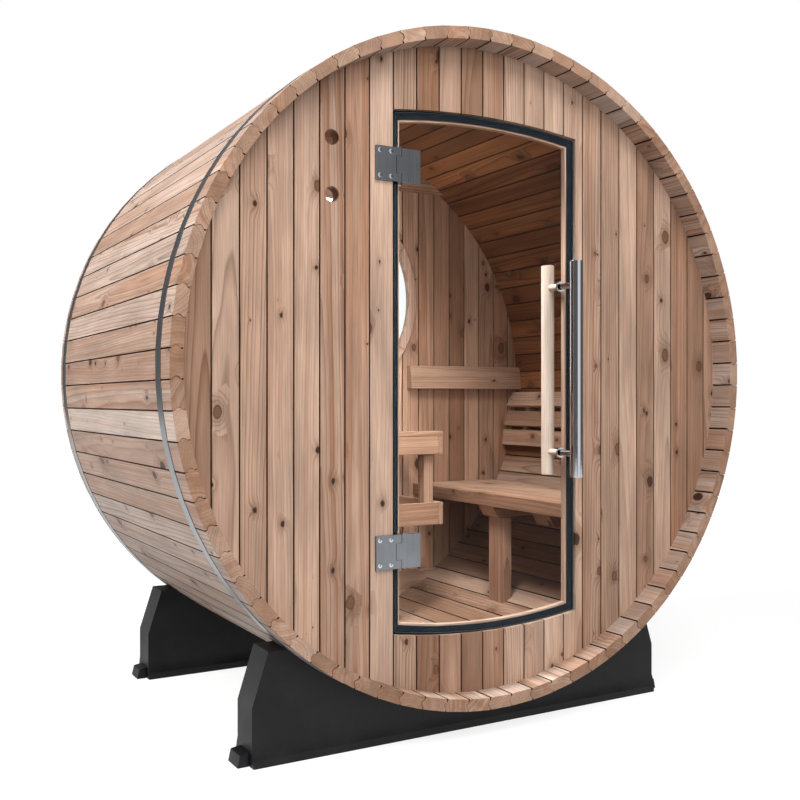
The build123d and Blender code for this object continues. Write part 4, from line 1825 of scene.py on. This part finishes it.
@dataclass
class GlassDoor:
    """All-glass door with clamp hinges and a handle on each face.

    Attributes:
        glass_ease: Radius of the glass's ground edges.
        plate_ease: Radius of the hinge plates' edges.
        screw_radius: Radius of a screw head.
        screw_rise: Height of its dome above the plate.
        screw_rim: Height of its rim above the plate.
        screw_sunk: Depth of its underside in the plate.
        screw_sides: Facets round it.
        crown: Radius of the flat top of the dome, as a share of the head's.
        socket_radius: Radius of the socket in the head.
        socket_floor: Depth of the socket's floor in the plate.
        screw_columns: X of the screws, measured from the wall end of the plate.
        screw_inset: Height of the screws from the plate's upper and lower edge.
        edge_lean: Largest part of the normal that looks to the front or back on a ground edge.
    """

    glass_ease: float = 0.9 * MM
    plate_ease: float = 0.9 * MM
    screw_radius: float = 6.0 * MM
    screw_rise: float = 0.6 * MM
    screw_rim: float = 0.15 * MM
    screw_sunk: float = 0.4 * MM
    screw_sides: int = 20
    crown: float = 0.8
    socket_radius: float = 2.4 * MM
    socket_floor: float = 0.2 * MM
    screw_columns: Point2 = (11 * MM, 44 * MM)
    screw_inset: float = 12 * MM
    edge_lean: float = 0.05

    def glass(self) -> None:
        """Build the leaf of glass with its ground edges."""
        bm = copy_of("door_glass")
        ease(bm, self.glass_ease, 2)
        for face in bm.faces:
            side = Side.FACE if abs(face.normal.y) > self.edge_lean else Side.EDGE
            face.material_index = side.value
        publish(bm, "door_glass_leaf", (GLASS, GLASS_EDGE), ["door_glass"], DOOR)

    def plates(self, node: str, body: str) -> None:
        """Build hinge plates in place of a construction node, brushed upright.

        Args:
            node: The construction node.
            body: Body that they move with.
        """
        bm = copy_of(node)
        ease(bm, self.plate_ease, 2)
        grain = bm.verts.layers.float_vector.new(GRAIN)
        for vert in bm.verts:
            vert[grain] = Vector((vert.co.x, vert.co.z, vert.co.y))
        publish(bm, node + "_piece", STEEL, [node], body)

    def screw(self, x: float, y: float, z: float) -> bmesh.types.BMesh:
        """Make a domed screw head with a round socket, facing the front.

        Args:
            x: X of its middle.
            y: Y of the plate's face.
            z: Height of its middle.

        Returns:
            The screw's mesh.
        """
        outline = [
            (0.0, self.socket_floor),
            (self.socket_radius, self.socket_floor),
            (self.socket_radius, -self.screw_rise),
            (self.screw_radius * self.crown, -self.screw_rise),
            (self.screw_radius, -self.screw_rim),
            (self.screw_radius, self.screw_sunk),
            (0.0, self.screw_sunk),
        ]
        return lathe(outline, self.screw_sides, (x, y, z))

    def screws(self) -> None:
        """Build the screws through the wall side of both hinges."""
        bm = bmesh.new()
        leaves = copy_of("hinge_wall_leaves")
        for verts in islands(leaves):
            low, high = extent(verts)
            for column in self.screw_columns:
                for z in (low.z + self.screw_inset, high.z - self.screw_inset):
                    join(bm, self.screw(low.x + column, low.y, z))
        leaves.free()
        publish(bm, "hinge_screws", CHROME, [])

    def build(self) -> None:
        """Build the door."""
        self.glass()
        self.plates("hinge_wall_leaves", ROOT)
        self.plates("hinge_glass_leaves", DOOR)
        self.plates("hinge_back_leaves", DOOR)
        self.screws()
        Handles().build()


@dataclass
class Handles:
    """Chrome tube outside and turned wooden bar inside, on shared standoffs.

    Attributes:
        radius: Radius of tube and bar.
        standoff_radius: Radius of a standoff.
        spacing: Height between the standoffs.
        collar_radius: Radius of the collars on the glass.
        collar_depth: Thickness of a collar.
        end_ease: Radius of the ends.
        sides: Facets round tube and bar.
        peg_sides: Facets round a standoff or collar.
        flare: Outline of the wooden standoff from the glass to the bar, as a share of its length
            and of its radius.
        tone: Smallest and largest lean of the bar to the deep colour.
        pith: Smallest and largest distance from the bar's axis to its pith.
    """

    radius: float = 19 * MM
    standoff_radius: float = 9.5 * MM
    spacing: float = 482 * MM
    collar_radius: float = 15 * MM
    collar_depth: float = 6 * MM
    end_ease: float = 1.6 * MM
    sides: int = 48
    peg_sides: int = 32
    flare: tuple[Point2, ...] = ((0, 1.02), (0.45, 1), (0.62, 1.05), (0.75, 1.28), (0.86, 1.6), (1, 1.6))
    tone: Point2 = (0.0, 0.15)
    pith: Point2 = (60 * MM, 130 * MM)

    def upright(self, node: str, near_glass: bool) -> tuple[Vector, float, float]:
        """Find the axis and ends of a bar.

        Args:
            node: Construction node of the handle.
            near_glass: Whether the bar is on the far side of its node, seen from the front.

        Returns:
            Point on the bar's axis at the node's middle height, and the lowest and highest height.
        """
        low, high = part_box(node)
        y = high.y - self.radius if near_glass else low.y + self.radius
        return Vector(((low.x + high.x) / 2, y, (low.z + high.z) / 2)), low.z, high.z

    def bar(self, axis: Vector, low: float, high: float) -> bmesh.types.BMesh:
        """Make a round bar with eased ends.

        Args:
            axis: Point on its axis.
            low: Height of its foot.
            high: Height of its head.

        Returns:
            The bar's mesh.
        """
        bm = bmesh.new()
        bmesh.ops.create_cone(
            bm,
            cap_ends=True,
            segments=self.sides,
            radius1=self.radius,
            radius2=self.radius,
            depth=high - low,
            matrix=Matrix.Translation((axis.x, axis.y, (low + high) / 2)),
        )
        ease(bm, self.end_ease, 3, lambda e: abs(e.verts[0].co.z - e.verts[1].co.z) < WELD)
        return bm

    def peg(
        self, x: float, z: float, start: float, end: float, radii: Sequence[Point2]
    ) -> bmesh.types.BMesh:
        """Make a turned peg from start to end along Y.

        Args:
            x: X of its axis.
            z: Height of its axis.
            start: Y of its first end.
            end: Y of its last end.
            radii: Share of the length and radius of each step of its outline.

        Returns:
            The peg's mesh.
        """
        steps = [(r, start + (end - start) * t) for t, r in radii]
        return lathe([(0.0, start), *steps, (0.0, end)], self.peg_sides, (x, 0, z))

    def collar_outline(self) -> list[Point2]:
        """Outline of a collar in two parts with a neck between them, from the glass outwards."""
        r, c = self.standoff_radius, self.collar_radius
        inner = [(0, r), (0.05, c * 0.96), (0.2, c), (0.42, c)]
        return [*inner, (0.5, r * 1.1), (0.58, c), (0.85, c), (1, c * 0.9)]

    def build(self) -> None:
        """Build both handles with their standoffs and collars."""
        glass_front, glass_back = (corner.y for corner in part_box("door_glass"))
        r = self.standoff_radius
        axis, low, high = self.upright("handle_outside", False)
        tube = self.bar(axis, low, high)
        heights = [axis.z - self.spacing / 2, axis.z + self.spacing / 2]
        for z in heights:
            join(tube, self.peg(axis.x, z, axis.y, glass_front, [(0, r), (1, r)]))
        publish(tube, "handle_outside_tube", CHROME, ["handle_outside"], DOOR)

        axis, low, high = self.upright("handle_inside", True)
        wood = self.bar(axis, low, high)
        collar_end = glass_back + self.collar_depth
        flare = [(t, r * share) for t, share in self.flare]
        for z in heights:
            join(wood, self.peg(axis.x, z, collar_end, axis.y, flare))
        timber = Timber(61, tone=self.tone, pith=self.pith)
        mark_out(wood)
        for verts in islands(wood):
            timber.cut(wood, verts, Axis.Z, Axis.X, axis)
        publish(wood, "handle_inside_bar", HANDLE_WOOD, ["handle_inside"], DOOR)

        collars = bmesh.new()
        for z in heights:
            join(collars, self.peg(axis.x, z, glass_back, collar_end, self.collar_outline()))
        publish(collars, "handle_collars", CHROME, [], DOOR)


@dataclass
class Fittings:
    """Benches, backrests, head rails, heater guard and wall cleats, each from eased boards.

    Attributes:
        board_ease: Radius of the edges of seats, rails and posts.
        slat_ease: Radius of the edges of backrest slats.
        rough_ease: Radius of the edges of hidden framing.
        tone: Smallest and largest lean of a board to the deep colour.
    """

    board_ease: float = 3.0 * MM
    slat_ease: float = 2.5 * MM
    rough_ease: float = 1.5 * MM
    tone: Point2 = (0.0, 0.7)

    def build(self) -> None:
        """Build every fitting inside the cabin."""
        timber = Timber(71, tone=self.tone)
        radii = {
            "bench_front_boards": self.board_ease,
            "bench_right_seat": self.board_ease,
            "bench_left_seat": self.board_ease,
            "bench_posts": self.board_ease,
            "bench_battens": self.rough_ease,
            "bench_ledgers": self.rough_ease,
            "backrest_slats": self.slat_ease,
            "backrest_supports": self.rough_ease,
            "head_rails": self.slat_ease,
            "guard_front_rails": self.slat_ease,
            "guard_side_rails": self.slat_ease,
            "guard_posts": self.slat_ease,
            "guard_cap": self.slat_ease,
            "front_wall_cleats": self.rough_ease,
            "back_wall_cleats": self.rough_ease,
        }
        for node, radius in radii.items():
            eased_copy(node, BENCH_WOOD, radius, timber)


@dataclass(frozen=True)
class Lamp:
    """Soft square lamp that the camera and mirrors don't see.

    Attributes:
        name: Name of the lamp.
        place: Where it hangs.
        aim: Point that it faces.
        size: Side of its square.
        power: Power in watts.
        spread: Angle that it lights.
    """

    name: str
    place: Point3
    aim: Point3
    size: float
    power: float
    spread: float = math.pi

    def hang(self) -> None:
        """Put the lamp into the scene."""
        data = bpy.data.lights.new(self.name, "AREA")
        data.spread = self.spread
        data.shape = "SQUARE"
        data.size = self.size
        data.energy = self.power
        lamp = bpy.data.objects.new(self.name, data)
        bpy.context.scene.collection.objects.link(lamp)
        lamp.location = self.place
        lamp.visible_camera = False
        lamp.visible_glossy = False
        lamp.rotation_euler = (Vector(self.aim) - Vector(self.place)).to_track_quat("-Z", "Y").to_euler()


# The daylight falls from the front and the upper left, and two small lamps fill the cabin.
LAMPS = (
    Lamp("front", (-0.9, -4.8, 2.1), aim=(0, -0.5, 0.9), size=2.2, power=104),
    Lamp("front_high", (-0.5, -3.2, 4.3), aim=(0, -0.5, 0.9), size=2.2, power=145),
    Lamp("left_high", (-4.1, 0.1, 3.6), aim=(0, 0, 0.95), size=2.4, power=250),
    Lamp("behind", (1.5, 5.5, 3.2), aim=(0, 0, 0.95), size=2.4, power=90),
    Lamp("cabin", (-0.05, -0.25, 1.72), (0.05, 0, 0), 0.4, 14, spread=math.radians(110)),
    Lamp("cabin_left", (-0.25, -0.4, 1.0), (0, 0.56, 1.4), 0.2, 3, spread=math.radians(110)),
)


@dataclass
class Studio:
    """White studio: floor, world, lamps and the camera of the photograph.

    Attributes:
        eye: Place of the camera.
        yaw: Angle of the view to the right of straight ahead, in degrees.
        lens: Focal length in millimetres.
        sensor: Width of the camera's sensor in millimetres.
        shift: Sideways and upward shift of the picture.
        far_clip: Greatest distance that the camera sees.
        sky: Strength of the light from all round.
        flag_level: Strength of a black flag.
        flag_ahead: Forward part of a direction where the flags beside the camera fade out.
        flag_aside: Sideways part of a direction where they set in.
        flag_offset: How far the gap between them is turned to the right.
        flag_top: Upward part of a direction where all flags fade out.
        flag_behind: Forward part of a direction where the flag behind the object sets in.
        floor_grey: Share of the light that the floor throws back.
        near_glow: How much brighter the floor looks than it is lit, near the object.
        far_glow: The same far away, where the lamps don't reach.
        glow_reach: Distances from the object between which the one turns into the other.
        floor_size: Side of the floor.
    """

    eye: Point3 = (-1.5836, -2.7817, 0.9065)
    yaw: float = 29.805
    lens: float = 44.79
    sensor: float = 36.0
    shift: Point2 = (0.0048, 0.0006)
    far_clip: float = 200.0
    sky: float = 0.25
    flag_level: float = 0.14
    flag_ahead: Point2 = (0.3, 0.45)
    flag_aside: Point2 = (0.34, 0.46)
    flag_offset: float = 0.05
    flag_top: Point2 = (0.55, 0.8)
    flag_behind: Point2 = (0.82, 0.88)
    floor_grey: float = 0.3
    near_glow: float = 0.78
    far_glow: float = 0.95
    glow_reach: Point2 = (2.0, 7.0)
    floor_size: float = 18.0

    def camera(self) -> None:
        """Set up the camera."""
        data = bpy.data.cameras.new("camera")
        data.lens = self.lens
        data.sensor_width = self.sensor
        data.shift_x, data.shift_y = self.shift
        data.clip_end = self.far_clip
        eye = bpy.data.objects.new("camera", data)
        bpy.context.scene.collection.objects.link(eye)
        eye.location = self.eye
        eye.rotation_euler = (math.pi / 2, 0, -math.radians(self.yaw))
        bpy.context.scene.camera = eye

    def seen(self, tree: bpy.types.NodeTree) -> bpy.types.NodeSocket:
        """Tell the rays that see the background from those that light the object.

        Args:
            tree: Node tree of the world or floor.

        Returns:
            One for rays of the camera, of mirrors and of glass, zero for light on the object.
        """
        rays = add_node(tree, "LightPath").node.outputs
        direct = {0: rays["Is Camera Ray"], 1: rays["Is Glossy Ray"]}
        seen = add_node(tree, "Math", direct, operation="MAXIMUM")
        return add_node(tree, "Math", {0: seen, 1: rays["Is Transmission Ray"]}, operation="MAXIMUM")

    def flags(self, tree: bpy.types.NodeTree) -> bpy.types.NodeSocket:
        """Place grey flags left and right of the camera and behind the object, for mirrors alone.

        Args:
            tree: Node tree of the world.

        Returns:
            One where mirrors see a flag, zero elsewhere.
        """
        way = add_node(tree, "SeparateXYZ", {0: add_node(tree, "TexCoord", output="Generated")})
        x, y, z = way.node.outputs
        start, end = self.flag_ahead
        ahead = add_node(tree, "MapRange", {0: y, 1: start, 2: end, 3: 1.0, 4: 0.0})
        aside = add_node(tree, "Math", {0: x, 1: self.flag_offset}, operation="SUBTRACT")
        aside = add_node(tree, "Math", {0: aside}, operation="ABSOLUTE")
        start, end = self.flag_aside
        aside = add_node(tree, "MapRange", {0: aside, 1: start, 2: end, 3: 0.0, 4: 1.0})
        start, end = self.flag_top
        low = add_node(tree, "MapRange", {0: z, 1: start, 2: end, 3: 1.0, 4: 0.0})
        start, end = self.flag_behind
        behind = add_node(tree, "MapRange", {0: y, 1: start, 2: end, 3: 0.0, 4: 1.0})
        flag = add_node(tree, "Math", {0: ahead, 1: aside, 2: behind}, operation="MULTIPLY_ADD")
        flag = add_node(tree, "Math", {0: flag, 1: low}, operation="MULTIPLY")
        rays = add_node(tree, "LightPath").node.outputs
        opaque = {0: rays["Is Glossy Ray"], 1: rays["Is Transmission Ray"]}
        mirror = add_node(tree, "Math", opaque, operation="SUBTRACT", use_clamp=True)
        return add_node(tree, "Math", {0: flag, 1: mirror}, operation="MULTIPLY")

    def world(self) -> None:
        """White to the eye, a soft even light to the object, and flags for the metal."""
        world = bpy.data.worlds.new("studio")
        bpy.context.scene.world = world
        world.use_nodes = True
        tree = world.node_tree
        tree.nodes.clear()
        strength = add_node(tree, "MapRange", {0: self.seen(tree), 1: 0.0, 2: 1.0, 3: self.sky, 4: 1.0})
        strength = add_node(tree, "Mix", {0: self.flags(tree), 2: strength, 3: self.flag_level})
        light = add_node(tree, "Background", {"Color": WHITE, "Strength": strength})
        add_node(tree, "OutputWorld", {"Surface": light})

    def floor(self) -> None:
        """Pale floor that keeps the object's shadow."""
        bm = bmesh.new()
        bmesh.ops.create_grid(bm, x_segments=1, y_segments=1, size=self.floor_size / 2)
        mesh = bpy.data.meshes.new("floor")
        bm.to_mesh(mesh)
        bm.free()
        floor = bpy.data.objects.new("floor", mesh)
        bpy.context.scene.collection.objects.link(floor)
        material = bpy.data.materials.new("white_floor")
        material.use_nodes = True
        tree = material.node_tree
        tree.nodes.clear()
        pale = add_node(tree, "BsdfDiffuse", {"Color": (self.floor_grey,) * 3 + (1,)})
        place = add_node(tree, "TexCoord", output="Object")
        away = add_node(tree, "VectorMath", {0: place}, "Value", operation="LENGTH")
        start, end = self.glow_reach
        level = {0: away, 1: start, 2: end, 3: self.near_glow, 4: self.far_glow}
        level = add_node(tree, "MapRange", level)
        level = add_node(tree, "Math", {0: self.seen(tree), 1: level}, operation="MULTIPLY")
        glow = add_node(tree, "Emission", {"Color": WHITE, "Strength": level})
        add_node(tree, "OutputMaterial", {"Surface": add_node(tree, "AddShader", {0: pale, 1: glow})})
        mesh.materials.append(material)

    def build(self) -> None:
        """Set up the whole studio."""
        self.camera()
        self.world()
        self.floor()
        for lamp in LAMPS:
            lamp.hang()


def main() -> None:
    """Build the sauna and its studio."""
    logging.basicConfig(level=logging.INFO, format="%(name)s: %(message)s")
    bpy.context.scene.view_settings.view_transform = "Standard"
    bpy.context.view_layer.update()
    Studio().build()
    Barrel().build()
    front_nodes = ("front_wall_left", "front_wall_right", "front_wall_over_door", "front_wall_under_door")
    FrontWall("front_wall_boards", front_nodes, WALL_WOOD, 9752).build()
    back_nodes = ("back_wall_left", "back_wall_right", "back_wall_over_window", "back_wall_under_window")
    BackWall("back_wall_boards", back_nodes, INSIDE_WOOD, 31).build()
    RoundWindow().build()
    Hoops().build()
    Cradles().build()
    DoorSurround().build()
    Fittings().build()
    GlassDoor().build()


if __name__ == "__main__":
    main()
